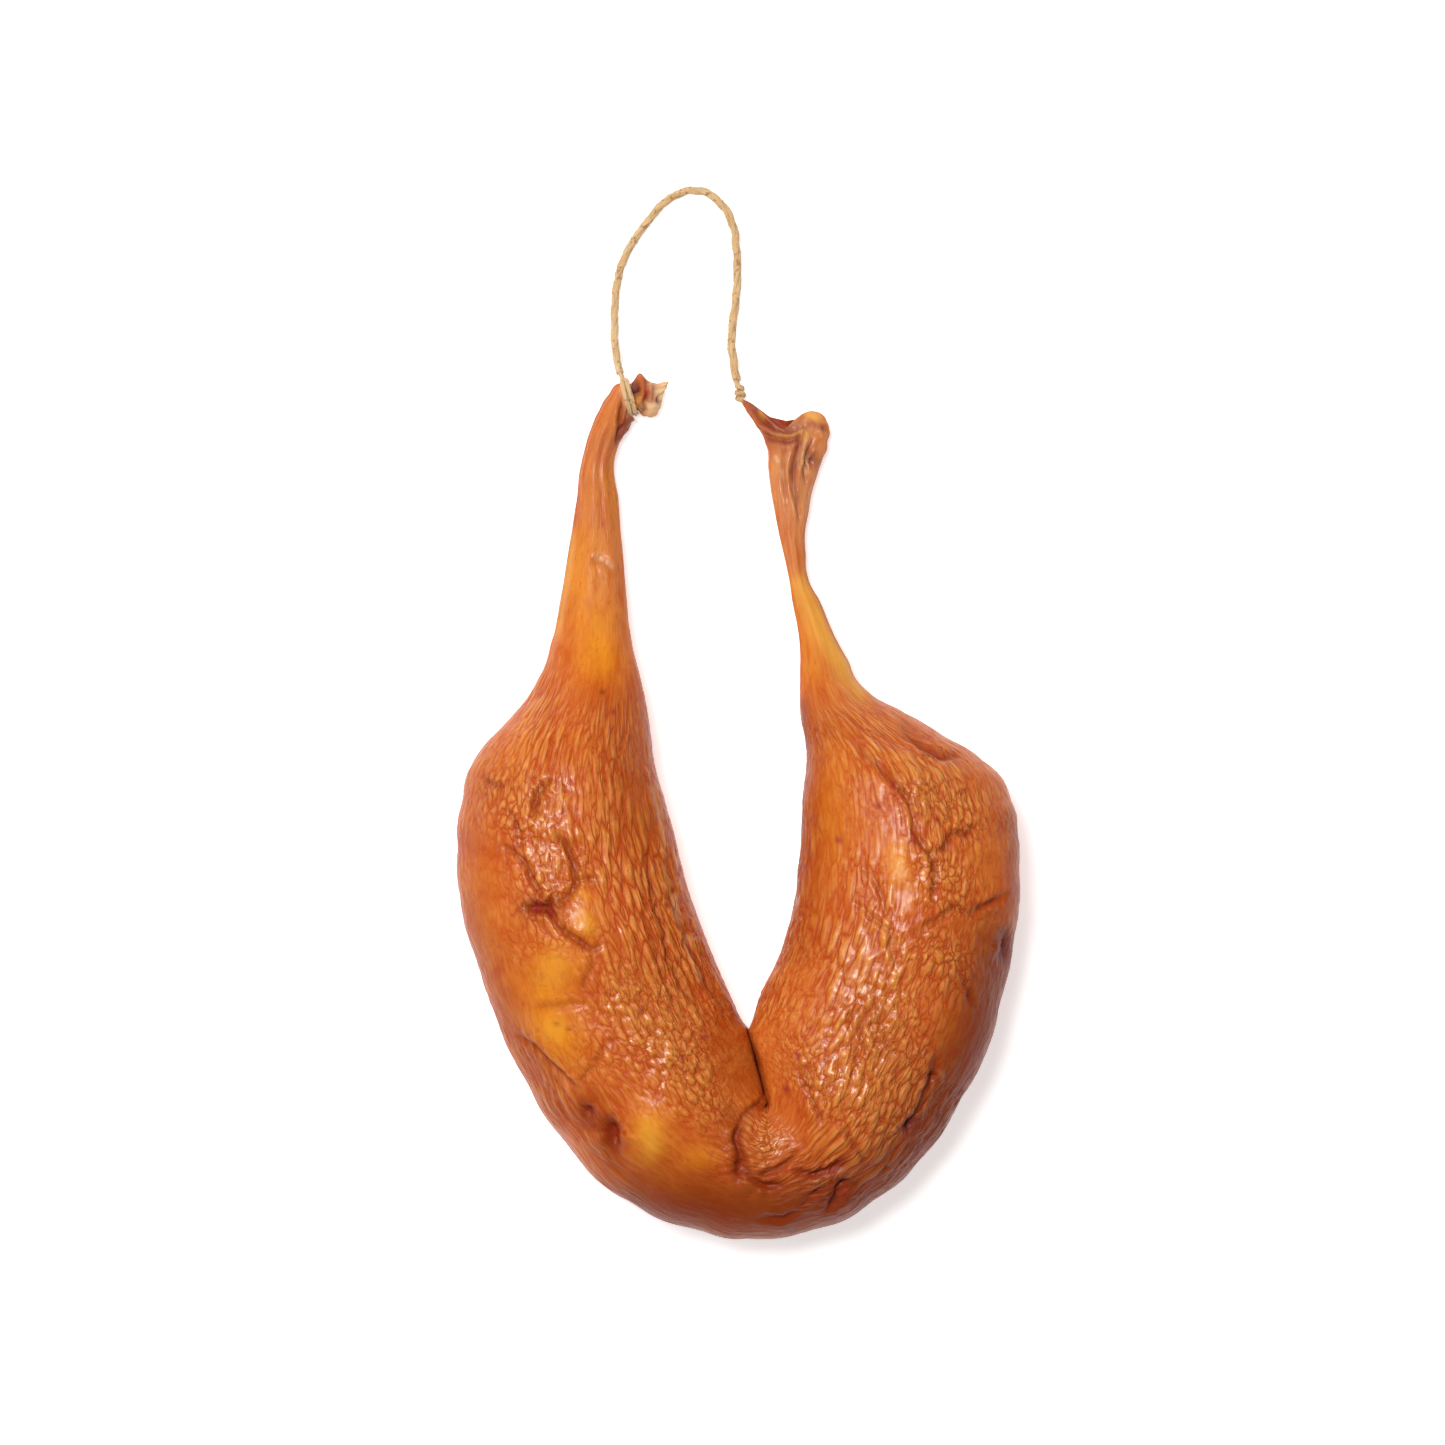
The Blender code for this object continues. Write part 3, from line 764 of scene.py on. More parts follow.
def creaseRelief(plan, lines, edge):
    shape = creaseShape
    height = np.zeros(plan.shape[:-1])
    redAndShade = np.zeros(plan.shape[:-1])
    for depth, width, red, *line in lines:
        distance, along, length = nearestOnLine(plan, line)
        if distance.min() > shape["reach"] * width:
            continue
        fading = max(shape["endShare"] * length, shape["shortestEnd"])
        taper = atLeast(shape["endDepth"], clamped(np.minimum(along, length - along) / fading))
        groove = np.exp(-np.abs(shape["groove"][0] * distance / width) ** shape["groove"][1])
        trough = shape["trough"][0] * bell(distance, shape["trough"][1] * width)
        lip = edge[0] * bell(distance - shape["lip"][0] * width, shape["lip"][1] * width)
        sway = shape["puckerSway"][0] * np.sin(along * shape["puckerSway"][1])
        folds = np.cos(along / shape["puckerPitch"] * 2.0 * math.pi + sway)
        pucker = edge[1] * folds * bell(distance - shape["pucker"][0] * width, shape["pucker"][1] * width)
        height += depth * taper * (lip + pucker - groove - trough)
        # the crease's red mark, which also sets how much painted shade darkens its groove
        redAndShade = np.maximum(redAndShade, red * taper * bell(distance, shape["redWidth"] * width))
    return height, redAndShade


def skinPlaces(grid, cuts, places, angle):
    # Where each point is on the skin itself: round it and along it, and not squeezed at the fold
    look = sausage
    reach, size, shift = look["girthSway"]
    girth = look["wrinkleRadius"] + reach * noiseAt(grid, size, shift)
    atTurn = bell(planDistance(grid, *look["turnPoint"]), look["turnReach"])
    along = places[np.argmin(cuts[:, 3])] + look["turnPull"] * (grid[..., 0] - look["turnPoint"][0])
    reach, size, shift = look["alongSway"]
    along = places[:, None] * (1.0 - atTurn) + along * atTurn + reach * noiseAt(grid, size, shift)
    return np.stack([girth * np.cos(angle)[None, :], girth * np.sin(angle)[None, :], along], axis=-1)


def crinkleAmounts(grid, plan, up, full, awayFromFold):
    # How strongly the long wrinkles and the small cells are raised at each point
    look = sausage
    reach, size, shift = look["patchSway"]
    patchy = clamped(0.5 + reach * noiseAt(grid, size, shift))
    calm = 1.0 - look["smoothing"] * (zoneStrength(plan, smoothZones) * up)
    inFold = bell(nearestOnLine(grid[..., :2], look["foldLine"])[0], look["foldWidth"])
    calm = calm * atLeast(look["thinCrinkle"], full ** look["thinPower"])
    calm = calm * atLeast(look["foldCrinkle"], awayFromFold) * (1.0 - inFold)
    amounts = []
    for zones, patch, (least, most) in (
        (longZones, patchy, look["longRange"]), (cellZones, 1.0 - patchy, look["cellRange"]),
    ):
        raised = zoneStrength(plan, zones) * up + look["patchShare"] * patch + least
        amounts.append(np.clip(raised, 0.0, most) * calm)
    return amounts


def casingRelief(grid, normals, cuts, places, angle):
    look = sausage
    thickness = cuts[:, 4][:, None]
    pleated = clamped(1.0 - thickness / look["pleatedThickness"])
    full = 1.0 - pleated
    drift = look["pleatDrift"] * np.sin(grid[..., 1] / look["pleatDriftLength"])
    pleats = look["pleatDepth"] * np.sqrt(pleated) * np.cos(look["pleats"] * angle[None, :] + drift)
    lumps = look["lumpHeight"] * full * noiseAt(grid, look["lumpSize"])
    awayFromFold = clamped(planDistance(grid, *look["foldPoint"]) / look["foldReach"])
    up = clamped(normals[..., 2] * 2.0)

    wander = np.stack([noiseAt(grid, look["wanderSize"], shift) for shift in look["wanderShifts"]], axis=-1)
    plan = grid[..., :2] + look["creaseWander"] * wander * atLeast(look["thinWander"], full[..., None])
    rise = sum(height * bell(planDistance(plan, x, y), radius, 3) for x, y, radius, height in bulges)
    crumpled = sum(
        depth * bell(planDistance(grid, x, y), reach) * noiseAt(grid, size, look["crumpleShift"])
        for x, y, reach, depth, size in crumples
    )
    crumpled *= clamped(thickness / look["crumpledThickness"]) ** look["thinPower"]
    big, bigRedAndShade = creaseRelief(plan, creases, creaseShape["bodyEdge"])
    thin, thinRedAndShade = creaseRelief(plan, endCreases, creaseShape["thinEdge"])

    toFlareEdge = clamped((len(grid) - 1 - np.arange(len(grid))) / look["edgeRings"])[:, None]
    height = (pleats + lumps + (rise + big) * up) * awayFromFold + thin * up + crumpled
    amounts = crinkleAmounts(grid, plan, up, full, awayFromFold)
    return {
        "height": height * toFlareEdge,
        "red": clamped(np.maximum(bigRedAndShade, thinRedAndShade) * up),
        "crinkle": np.stack([*amounts, zoneStrength(plan, glossZones)], axis=-1),
        "plan": plan,
        "up": up,
        # painted shade down the sides of the thin necks
        "paintedSideShade": look["paintedSideShade"] * (1.0 - up) * pleated,
        "skinPlace": skinPlaces(grid, cuts, places, angle),
    }


def pressFold(surface, limb):
    # Draws the two limbs' facing sides together along the fold; limb is -1 on the left one, 1 on the right
    look = sausage
    line = np.array(look["foldLine"])
    order = np.argsort(line[:, 1])
    meeting = np.interp(surface[..., 1], line[order, 1], line[order, 0])
    meeting += look["foldWave"][0] * np.sin(surface[..., 2] * look["foldWave"][1])
    beyond = np.maximum(np.maximum(surface[..., 1] - line[0, 1], line[-1, 1] - surface[..., 1]), 0.0)
    gap = (surface[..., 0] - meeting) * limb
    opened = np.maximum(gap, 0.0)
    press = bell(opened, look["foldPress"]) * bell(beyond, look["foldEnds"])
    pressed = gap * (1.0 - press) + (look["foldGap"] + look["foldSlack"] * opened) * press
    surface[..., 0] = meeting + pressed * limb


def casingMasks(skin):
    look = sausage
    plan, up = skin["plan"], skin["up"]
    spots = spotStrength(plan, redSpots, *look["redSpot"])
    specks = spotStrength(plan, blackSpecks, look["speckRadius"])
    # brown marks and dark specks, with painted shade on the bottom, the outer sides, the thin necks' sides
    # and in the creases
    brownAndShade = zoneStrength(plan, darkAndShadeZones) + specks * up + skin["paintedSideShade"] + look["creaseShade"] * skin["red"]
    tint = np.stack([
        zoneStrength(plan, fatZones) * up,
        clamped(look["creaseRed"] * skin["red"] + spots * up + zoneStrength(plan, redZones)),
        clamped(brownAndShade),
        zoneStrength(plan, paleZones),
    ], axis=-1)
    # the cream layer carries painted glints, the gold layer painted highlights on the bulges, and the
    # purple layer painted shade in pits and folds
    tone = np.stack([
        zoneStrength(plan, creamAndGlintZones),
        clamped(zoneStrength(plan, goldAndHighlightZones) * atLeast(look["sideGold"], up)),
        clamped(zoneStrength(plan, purpleSpotAndShadeZones)),
        np.ones(up.shape),  # a colour attribute needs a fourth value
    ], axis=-1)
    return tint, tone


def pocketRings(cuts, dips, angle, atStart):
    # The cut ends are open folds: the wall turns in and runs back inside as a thin slit
    rings = []
    for step, thin, narrow in sausage["pocket"]:
        index = step if atStart else len(cuts) - 1 - step
        cut = cuts[index].copy()
        middle = (cut[0:2] + cut[2:4]) / 2.0
        for edge in (slice(0, 2), slice(2, 4)):
            cut[edge] = middle + (cut[edge] - middle) * narrow
        cut[4] = cut[4] * thin
        rings.append(ringOfCut(cut, angle, dips[index]))
    return rings


def gridMesh(name, grid):
    rings, around = grid.shape[:2]
    ends = np.array([grid[0].mean(axis=0), grid[-1].mean(axis=0)])
    index = np.arange(rings * around).reshape(rings, around)
    after = np.roll(index, -1, axis=1)
    quads = np.stack([index[:-1], after[:-1], after[1:], index[1:]], axis=-1).reshape(-1, 4)
    faces = [tuple(quad) for quad in quads.tolist()]
    first, last = rings * around, rings * around + 1
    faces += [(int(b), int(a), first) for a, b in zip(index[0], after[0])]
    faces += [(int(a), int(b), last) for a, b in zip(index[-1], after[-1])]
    data = bpy.data.meshes.new(name)
    data.from_pydata((np.vstack([grid.reshape(-1, 3), ends]) * mm).tolist(), [], faces)
    data.update()
    data.shade_smooth()
    return data


def turnFacesOut(data):
    # The volume is negative when every face points inwards
    data.calc_loop_triangles()
    corners = coordinates(data)
    triangles = np.zeros(len(data.loop_triangles) * 3, np.int32)
    data.loop_triangles.foreach_get("vertices", triangles)
    a, b, c = (corners[triangles.reshape(-1, 3)[:, k]] for k in range(3))
    volume = np.einsum("ij,ij->i", a, np.cross(b, c)).sum() / 6.0
    if volume < 0.0:
        data.flip_normals()
    return abs(volume)


def storeValues(data, name, values):
    kind, field = ("FLOAT_VECTOR", "vector") if values.shape[-1] == 3 else ("FLOAT_COLOR", "color")
    layer = data.attributes.new(name, kind, "POINT")
    layer.data.foreach_set(field, values.astype(np.float32).ravel())


def crinkleTree():
    tree, given = newGrowth("casingCrinkles", {"Long Depth": "Float", "Cell Depth": "Float"})
    place, crinkle, outward = (
        addGeo(tree, "InputNamedAttribute", {"Name": name}, data_type="FLOAT_VECTOR").outputs[0]
        for name in ("skinPlace", "crinkle", "outward")
    )
    amounts = addShade(tree, "SeparateXYZ", {0: crinkle})
    rises = []
    for line, amount, depth in zip(crinkles(tree, place)[0], amounts.outputs, ("Long Depth", "Cell Depth")):
        centred = minus(tree, line, crinkleLines["middle"])
        rises.append(times(tree, times(tree, centred, amount), given[depth]))
    push = scaleVector(tree, outward, plus(tree, *rises))
    raised = addGeo(tree, "SetPosition", {"Geometry": given["Geometry"], "Offset": push})
    return painted(tree, raised.outputs[0], given)


def padded(values, extra, inside):
    # The pocket walls repeat the edge's values, then take the inside's own
    first = np.repeat(values[:1], extra, axis=0)
    last = np.repeat(values[-1:], extra, axis=0)
    joined = np.concatenate([first, values, last])
    if inside is not None:
        joined[:extra - 1] = inside
        joined[-extra + 1:] = inside
    tips = np.array([joined[0].mean(axis=0), joined[-1].mean(axis=0)])
    return np.vstack([joined.reshape(-1, joined.shape[-1]), tips])


def makeCasing(finish):
    grid, cuts, places, angle, dips = plainSausage()
    normals = gridNormals(grid)
    skin = casingRelief(grid, normals, cuts, places, angle)
    tint, tone = casingMasks(skin)
    surface = grid + normals * skin["height"][..., None]
    pressFold(surface, np.where(places < places[-1] * 0.5, -1.0, 1.0)[:, None])
    startRings = pocketRings(cuts, dips, angle, atStart=True)
    endRings = pocketRings(cuts, dips, angle, atStart=False)
    rough = gridMesh("casingRough", np.concatenate([startRings[::-1], surface, endRings]))
    # inside the open ends the red, brown and purple layers are raised as painted shade in the slit
    for name, values, inside in (
        ("tint", tint, (0.0, 0.5, 0.4, 0.0)), ("tone", tone, (0.0, 0.0, 0.5, 1.0)),
        ("skinPlace", skin["skinPlace"], None), ("crinkle", skin["crinkle"], (0.0, 0.0, 0.0)),
        ("outward", normals, (0.0, 0.0, 0.0)),
    ):
        storeValues(rough, name, padded(values, len(startRings), inside))
    data = grownMesh("casing", rough, crinkleTree(), {
        "Long Depth": crinkleLines["longDepth"] * mm, "Cell Depth": crinkleLines["cellDepth"] * mm,
        "Finish": finish,
    })
    data.attributes.remove(data.attributes["outward"])
    points = coordinates(data)
    points[:, 2] = np.maximum(points[:, 2], 0.0)  # pressed flat where it rests
    data.vertices.foreach_set("co", points.ravel())
    volume = turnFacesOut(data)
    say("casing of %d points, %.0f cubic cm" % (len(data.vertices), volume * 1e6))
    return placeMesh("casing", data, finish)


# Shader groups that more than one material uses

def mottleGroup():
    inputs = {"Vector": "Vector", "Size": "Float", "Contrast": "Float"}
    tree, given = newTree("smokeMottle", "ShaderNodeTree", inputs, ("Mask", "Float"))
    scale = addMath(tree, "DIVIDE", 1.0, given["Size"])
    cloud = addShade(tree, "TexNoise", {
        "Vector": given["Vector"], "Scale": scale, "Detail": 4.0, "Roughness": 0.62, "Distortion": 0.4,
    })
    strong = times(tree, minus(tree, cloud.outputs["Fac"], 0.5), given["Contrast"])
    return endTree(tree, plus(tree, strong, 0.5, clamp=True))


def grainGroup():
    inputs = {"Vector": "Vector", "Size": "Float", "Stretch": "Float"}
    tree, given = newTree("fineGrain", "ShaderNodeTree", inputs, ("Height", "Float"))
    size = addMath(tree, "DIVIDE", 1.0, given["Size"])
    long = addMath(tree, "DIVIDE", size, given["Stretch"])
    scales = addShade(tree, "CombineXYZ", {0: size, 1: size, 2: long}).outputs[0]
    grain = addShade(tree, "TexNoise", {
        "Vector": addVectors(tree, "MULTIPLY", given["Vector"], scales), "Scale": 1.0, "Detail": 3.0,
        "Roughness": 0.6,
    })
    pillow = addMath(tree, "ABSOLUTE", minus(tree, grain.outputs["Fac"], 0.5))
    return endTree(tree, times(tree, pillow, 5.0, clamp=True))


def newFinish(name):
    finish = bpy.data.materials.new(name)
    finish.use_nodes = True
    return finish, finish.node_tree, finish.node_tree.nodes["Principled BSDF"]


casingFinish = {
    "paleOrange": (0.65, 0.19, 0.028),
    "deepOrange": (0.48, 0.072, 0.004),
    # the valley colour: random small marks, and painted shade in the wrinkles' valleys
    "valley": (0.51, 0.052, 0.003),
    # the ridge colour: paler dry skin on the crests, which also carries a painted highlight
    "ridge": (0.77, 0.31, 0.06),
    # painted shade in the narrow creases between skin islands
    "crackShade": (0.39, 0.031, 0.002),
    "fat": (0.78, 0.29, 0.008),
    "red": (0.30, 0.02, 0.018),
    # brown marks, and painted shade where the sausage turns from the light
    "brownAndShade": (0.19, 0.021, 0.0015),
    "pale": (0.70, 0.30, 0.088),
    # gold of the thin casing, and painted highlights on the bulges
    "goldAndHighlight": (0.80, 0.41, 0.055),
    # cream folds, and painted glints
    "creamAndGlint": (0.88, 0.62, 0.35),
    # painted shade in pits and folds, and a few dark spots
    "purpleSpotsAndShade": (0.15, 0.045, 0.045),
    "mottles": ((7.0, 3.2), (1.5, 2.4), (1.9, 3.6)),  # size and contrast of clouds, small marks and blood
    "cloudShare": 0.5,
    "paleLeast": 0.35,
    "fatLeast": 0.5,
    "smallMix": 0.22,
    "valleyMix": 0.8,
    "crestPatches": (0.6, 0.4),
    "crestMix": 0.95,
    "crackMix": 0.42,
    "brownMix": 0.84,
    "bloodStart": 0.86,
    "bloodMix": 1.8,
    "redMix": 0.85,
    "purpleMix": 0.8,
    "roughness": (0.32, 0.46),
    "specular": 0.12,
    "coat": (0.02, 0.43, 0.3),  # everywhere, on crests, in the glossy zones
    "coatShade": 0.65,
    "coatRoughness": 0.17,
    "subsurface": 0.25,
    "bumpStrength": 0.65,
}


def casingMaterial(mottle):
    look = casingFinish
    finish, tree, shader = newFinish("smokedCasing")
    tint, tone, place, crinkle = (
        addShade(tree, "Attribute", attribute_name=name)
        for name in ("tint", "tone", "skinPlace", "crinkle")
    )
    skin = place.outputs["Vector"]
    fat, red, brownAndShade = addShade(tree, "SeparateColor", {0: tint.outputs["Color"]}).outputs
    creamAndGlint, goldAndHighlight, purpleSpotsAndShade = addShade(tree, "SeparateColor", {0: tone.outputs["Color"]}).outputs
    long, cell, glossy = addShade(tree, "SeparateXYZ", {0: crinkle.outputs["Vector"]}).outputs
    cloud, small, blood = (
        useGroup(tree, mottle, {"Vector": skin, "Size": size, "Contrast": contrast})
        for size, contrast in look["mottles"]
    )
    lines, cracks = crinkles(tree, skin)
    raised = [times(tree, line, amount) for line, amount in zip(lines, (long, cell))]
    cracked = [times(tree, crackShade, amount) for crackShade, amount in zip(cracks, (long, cell))]
    crest = plus(tree, *raised, clamp=True)
    # the wrinkles' valleys, where the valley colour is painted shade
    hollowShade = minus(tree, plus(tree, long, cell, clamp=True), crest, clamp=True)
    cloudy = times(tree, cloud, look["cloudShare"])
    patchy = plus(tree, times(tree, small, look["crestPatches"][0]), look["crestPatches"][1])
    colour = mixColour(tree, cloud, rgba(look["deepOrange"]), rgba(look["paleOrange"]))
    # Among these layers, the valley colour on the hollows and the crack and brown colours are painted
    # shade; the ridge colour is partly a painted highlight; the cream, gold and purple layers carry painted
    # glints, highlights on the bulges and shade in pits and folds
    for name, amount, strength in (
        ("pale", tint.outputs["Alpha"], plus(tree, cloudy, look["paleLeast"])),
        ("fat", fat, plus(tree, cloudy, look["fatLeast"])),
        ("valley", small, look["smallMix"]),
        ("valley", hollowShade, look["valleyMix"]),
        ("ridge", times(tree, crest, patchy), look["crestMix"]),
        ("crackShade", plus(tree, *cracked, clamp=True), look["crackMix"]),
        ("brownAndShade", brownAndShade, look["brownMix"]),
        ("red", minus(tree, blood, look["bloodStart"], clamp=True), look["bloodMix"]),
        ("goldAndHighlight", goldAndHighlight, None),
        ("creamAndGlint", creamAndGlint, None),
        ("red", red, look["redMix"]),
        ("purpleSpotsAndShade", purpleSpotsAndShade, look["purpleMix"]),
    ):
        factor = amount if strength is None else times(tree, amount, strength)
        colour = mixColour(tree, factor, colour, rgba(look[name]))

    rough = addShade(tree, "MapRange", {
        "Value": small, "To Min": look["roughness"][0], "To Max": look["roughness"][1],
    })
    depths = (crinkleLines["longDepth"], crinkleLines["cellDepth"])
    height = plus(tree, *(times(tree, line, depth) for line, depth in zip(raised, depths)))
    bump = addShade(tree, "Bump", {"Height": height, "Strength": look["bumpStrength"], "Distance": mm})
    everywhere, onCrests, inZones = look["coat"]
    gloss = plus(tree, times(tree, crest, onCrests), everywhere)
    gloss = plus(tree, times(tree, glossy, inZones), gloss, clamp=True)
    shaded = minus(tree, 1.0, times(tree, brownAndShade, look["coatShade"]), clamp=True)
    setInputs(tree, shader, {
        "Base Color": colour, "Roughness": rough.outputs[0], "Normal": bump.outputs[0], "IOR": 1.45,
        "Specular IOR Level": look["specular"], "Coat Weight": times(tree, gloss, shaded),
        "Coat Roughness": look["coatRoughness"], "Subsurface Weight": look["subsurface"],
        "Subsurface Radius": (1.0, 0.32, 0.1), "Subsurface Scale": 0.0015,
    })
    return finish


twineFinish = {
    "pale": (0.94, 0.68, 0.36),
    "tan": (0.80, 0.48, 0.19),
    # painted shade between the fibres
    "groove": (0.48, 0.23, 0.09),
    "grooveShadeMix": 0.32,
    "fleck": (0.36, 0.13, 0.05),
    "fleckStart": 0.92,
    "fleckMix": 9.0,
    "mottles": ((0.006, 2.4), (0.0011, 4.8)),  # size and contrast of patches and flecks
    "fibres": {"Size": 0.00016, "Stretch": 9.0},
}


def twineMaterial(mottle, grain):
    look = twineFinish
    finish, tree, shader = newFinish("smokedTwine")
    lay = addShade(tree, "Attribute", attribute_name="fibreLay").outputs["Vector"]
    place = addShade(tree, "TexCoord").outputs["Object"]
    fibres = useGroup(tree, grain, {"Vector": lay, **look["fibres"]})
    patches, flecks = (
        useGroup(tree, mottle, {"Vector": place, "Size": size, "Contrast": contrast})
        for size, contrast in look["mottles"]
    )
    colour = mixColour(tree, patches, rgba(look["tan"]), rgba(look["pale"]))
    # painted shade in the grooves between the fibres
    between = times(tree, minus(tree, 1.0, fibres), look["grooveShadeMix"])
    colour = mixColour(tree, between, colour, rgba(look["groove"]))
    rare = times(tree, minus(tree, flecks, look["fleckStart"], clamp=True), look["fleckMix"], clamp=True)
    colour = mixColour(tree, rare, colour, rgba(look["fleck"]))
    bump = addShade(tree, "Bump", {"Height": fibres, "Strength": 0.8, "Distance": 0.00012})
    setInputs(tree, shader, {
        "Base Color": colour, "Normal": bump.outputs[0], "Roughness": 0.78, "Sheen Weight": 0.25,
    })
    return finish


# The twine: strands twisted round a path, with loose fibres standing off them; in metres

twine = {
    "Strands": 3,
    "Strand Radius": 0.00054,
    "Lay Radius": 0.00032,
    "Twist Length": 0.015,
    "Step": 0.0003,
    "Fibre Ribs": 7,
    "Growth": 0.34,  # how much thicker the far end is than the near one
    "Unevenness": 0.00016,
    "Fibres": 130,
    "Fibre Length": 0.0026,
    "Seed": 7,
}
tieTwine = {
    **twine, "Strand Radius": 0.00032, "Lay Radius": 0.0002, "Growth": 0.0, "Fibres": 12,
    "Fibre Length": 0.002,
}
knotTwine = {
    **tieTwine, "Strand Radius": 0.00036, "Lay Radius": 0.00025, "Twist Length": 0.005, "Fibres": 10,
}

# How the strands and the loose fibres are drawn
strandShape = {
    "tilt": 0.6,
    "innerRadius": 0.86,
    "hairRadius": 0.00004,
    "hairPoints": {"Start": (0.0, 0.25, -0.3), "Middle": (0.05, 0.42, 0.1), "End": (0.22, 0.5, 0.5)},
    "hairLean": 0.25,
    "hairSizes": (0.75, 1.25),
    "lowest": 0.00003,
}

# The loop's middle line, from the left tie round the top to the right knot
twineRoute = [
    (-0.0238, 0.0866, 0.0052), (-0.0244, 0.0894, 0.0038), (-0.0248, 0.0930, 0.0022),
    (-0.0249, 0.0970, 0.0013), (-0.0248, 0.1010, 0.00105), (-0.0243, 0.1050, 0.00105),
    (-0.0232, 0.1090, 0.00105), (-0.0212, 0.1129, 0.00105), (-0.0181, 0.1172, 0.00105),
    (-0.0148, 0.1209, 0.00105), (-0.0118, 0.1227, 0.00105), (-0.0086, 0.1233, 0.00105),
    (-0.0058, 0.1225, 0.00105), (-0.0034, 0.1204, 0.00105), (-0.0014, 0.1170, 0.00105),
    (-0.0006, 0.1130, 0.00105), (-0.0003, 0.1090, 0.00105),
    (-0.0003, 0.1050, 0.00105), (-0.0006, 0.1010, 0.00105), (-0.0011, 0.0970, 0.00105),
    (-0.0014, 0.0930, 0.0011), (-0.0010, 0.0890, 0.0014), (-0.0004, 0.0852, 0.0019),
]


def captured(tree, geometry, label, value):
    store = addGeo(tree, "CaptureAttribute", {"Geometry": geometry})
    store.capture_items.new("FLOAT", label)
    tree.links.new(value, store.inputs[label])
    return store.outputs[0], store.outputs[label]


def looseFibres(tree, path, given):
    # Short bent hairs set round the path at random
    roots = addGeo(tree, "CurveToPoints", {"Curve": path, "Count": given["Fibres"]}, mode="COUNT")
    length = given["Fibre Length"]
    spots = {name: scaleVector(tree, spot, length) for name, spot in strandShape["hairPoints"].items()}
    bent = addGeo(tree, "CurveQuadraticBezier", {"Resolution": 5, **spots})
    ring = addGeo(tree, "CurvePrimitiveCircle", {
        "Resolution": 4, "Radius": strandShape["hairRadius"],
    })
    hair = addGeo(tree, "CurveToMesh", {
        "Curve": bent.outputs[0], "Profile Curve": ring.outputs[0], "Fill Caps": True,
    })
    lean = strandShape["hairLean"]
    spin = addNode(tree, "FunctionNodeRandomValue", {
        0: (-lean, -lean, 0.0), 1: (lean, lean, fullTurn), "Seed": given["Seed"],
    }, data_type="FLOAT_VECTOR")
    turned = addNode(tree, "FunctionNodeRotateRotation", {
        0: roots.outputs["Rotation"], 1: spin.outputs[0],
    }, rotation_space="LOCAL")
    size = addNode(tree, "FunctionNodeRandomValue", {
        2: strandShape["hairSizes"][0], 3: strandShape["hairSizes"][1], "Seed": given["Seed"],
    }, data_type="FLOAT")
    return addGeo(tree, "InstanceOnPoints", {
        "Points": roots.outputs["Points"], "Instance": hair.outputs[0], "Rotation": turned.outputs[0],
        "Scale": size.outputs[1],
    }).outputs[0]


def twistedStrands(tree, path, given):
    line = addGeo(tree, "ResampleCurve", {"Curve": path, "Length": given["Step"]}, mode="LENGTH")
    copies = addGeo(tree, "DuplicateElements", {
        "Geometry": line.outputs[0], "Amount": given["Strands"],
    }, domain="SPLINE")
    reached, along = addGeo(tree, "SplineParameter").outputs[:2]
    part = addMath(tree, "DIVIDE", copies.outputs["Duplicate Index"], given["Strands"])
    turns = plus(tree, addMath(tree, "DIVIDE", along, given["Twist Length"]), part)
    angle = times(tree, turns, fullTurn)
    normal = addGeo(tree, "InputNormal").outputs[0]
    tangent = addGeo(tree, "InputTangent").outputs[0]
    side = addVectors(tree, "CROSS_PRODUCT", tangent, normal)
    outward = addVectors(
        tree, "ADD", scaleVector(tree, normal, addMath(tree, "COSINE", angle)),
        scaleVector(tree, side, addMath(tree, "SINE", angle)),
    )
    scale = plus(tree, times(tree, minus(tree, reached, 0.5), given["Growth"]), 1.0)
    offset = scaleVector(tree, outward, times(tree, given["Lay Radius"], scale))
    grown = addGeo(tree, "SetCurveRadius", {"Curve": copies.outputs[0], "Radius": scale})
    strands = addGeo(tree, "SetPosition", {"Geometry": grown.outputs[0], "Offset": offset})
    tilted = addGeo(tree, "SetCurveTilt", {
        "Curve": strands.outputs[0], "Tilt": times(tree, angle, strandShape["tilt"]),
    })

    section = addGeo(tree, "CurveStar", {
        "Points": given["Fibre Ribs"], "Outer Radius": given["Strand Radius"],
        "Inner Radius": times(tree, given["Strand Radius"], strandShape["innerRadius"]),
    })
    route, storedAlong = captured(tree, tilted.outputs[0], "Along", along)
    factor = addGeo(tree, "SplineParameter").outputs["Factor"]
    profile, storedRound = captured(tree, section.outputs[0], "Round", factor)
    skin = addGeo(tree, "CurveToMesh", {"Curve": route, "Profile Curve": profile, "Fill Caps": True})
    rough = addShade(tree, "TexNoise", {"Scale": 900.0, "Detail": 2.0})
    push = scaleVector(tree, normal, times(tree, minus(tree, rough.outputs[0], 0.5), given["Unevenness"]))
    uneven = addGeo(tree, "SetPosition", {"Geometry": skin.outputs[0], "Offset": push})
    around = times(tree, storedRound, fullTurn)
    lay = addShade(tree, "CombineXYZ", {
        0: times(tree, addMath(tree, "COSINE", around), given["Strand Radius"]),
        1: times(tree, addMath(tree, "SINE", around), given["Strand Radius"]),
        2: storedAlong,
    })
    return addGeo(tree, "StoreNamedAttribute", {
        "Geometry": uneven.outputs[0], "Name": "fibreLay", "Value": lay.outputs[0],
    }, data_type="FLOAT_VECTOR", domain="POINT").outputs[0]


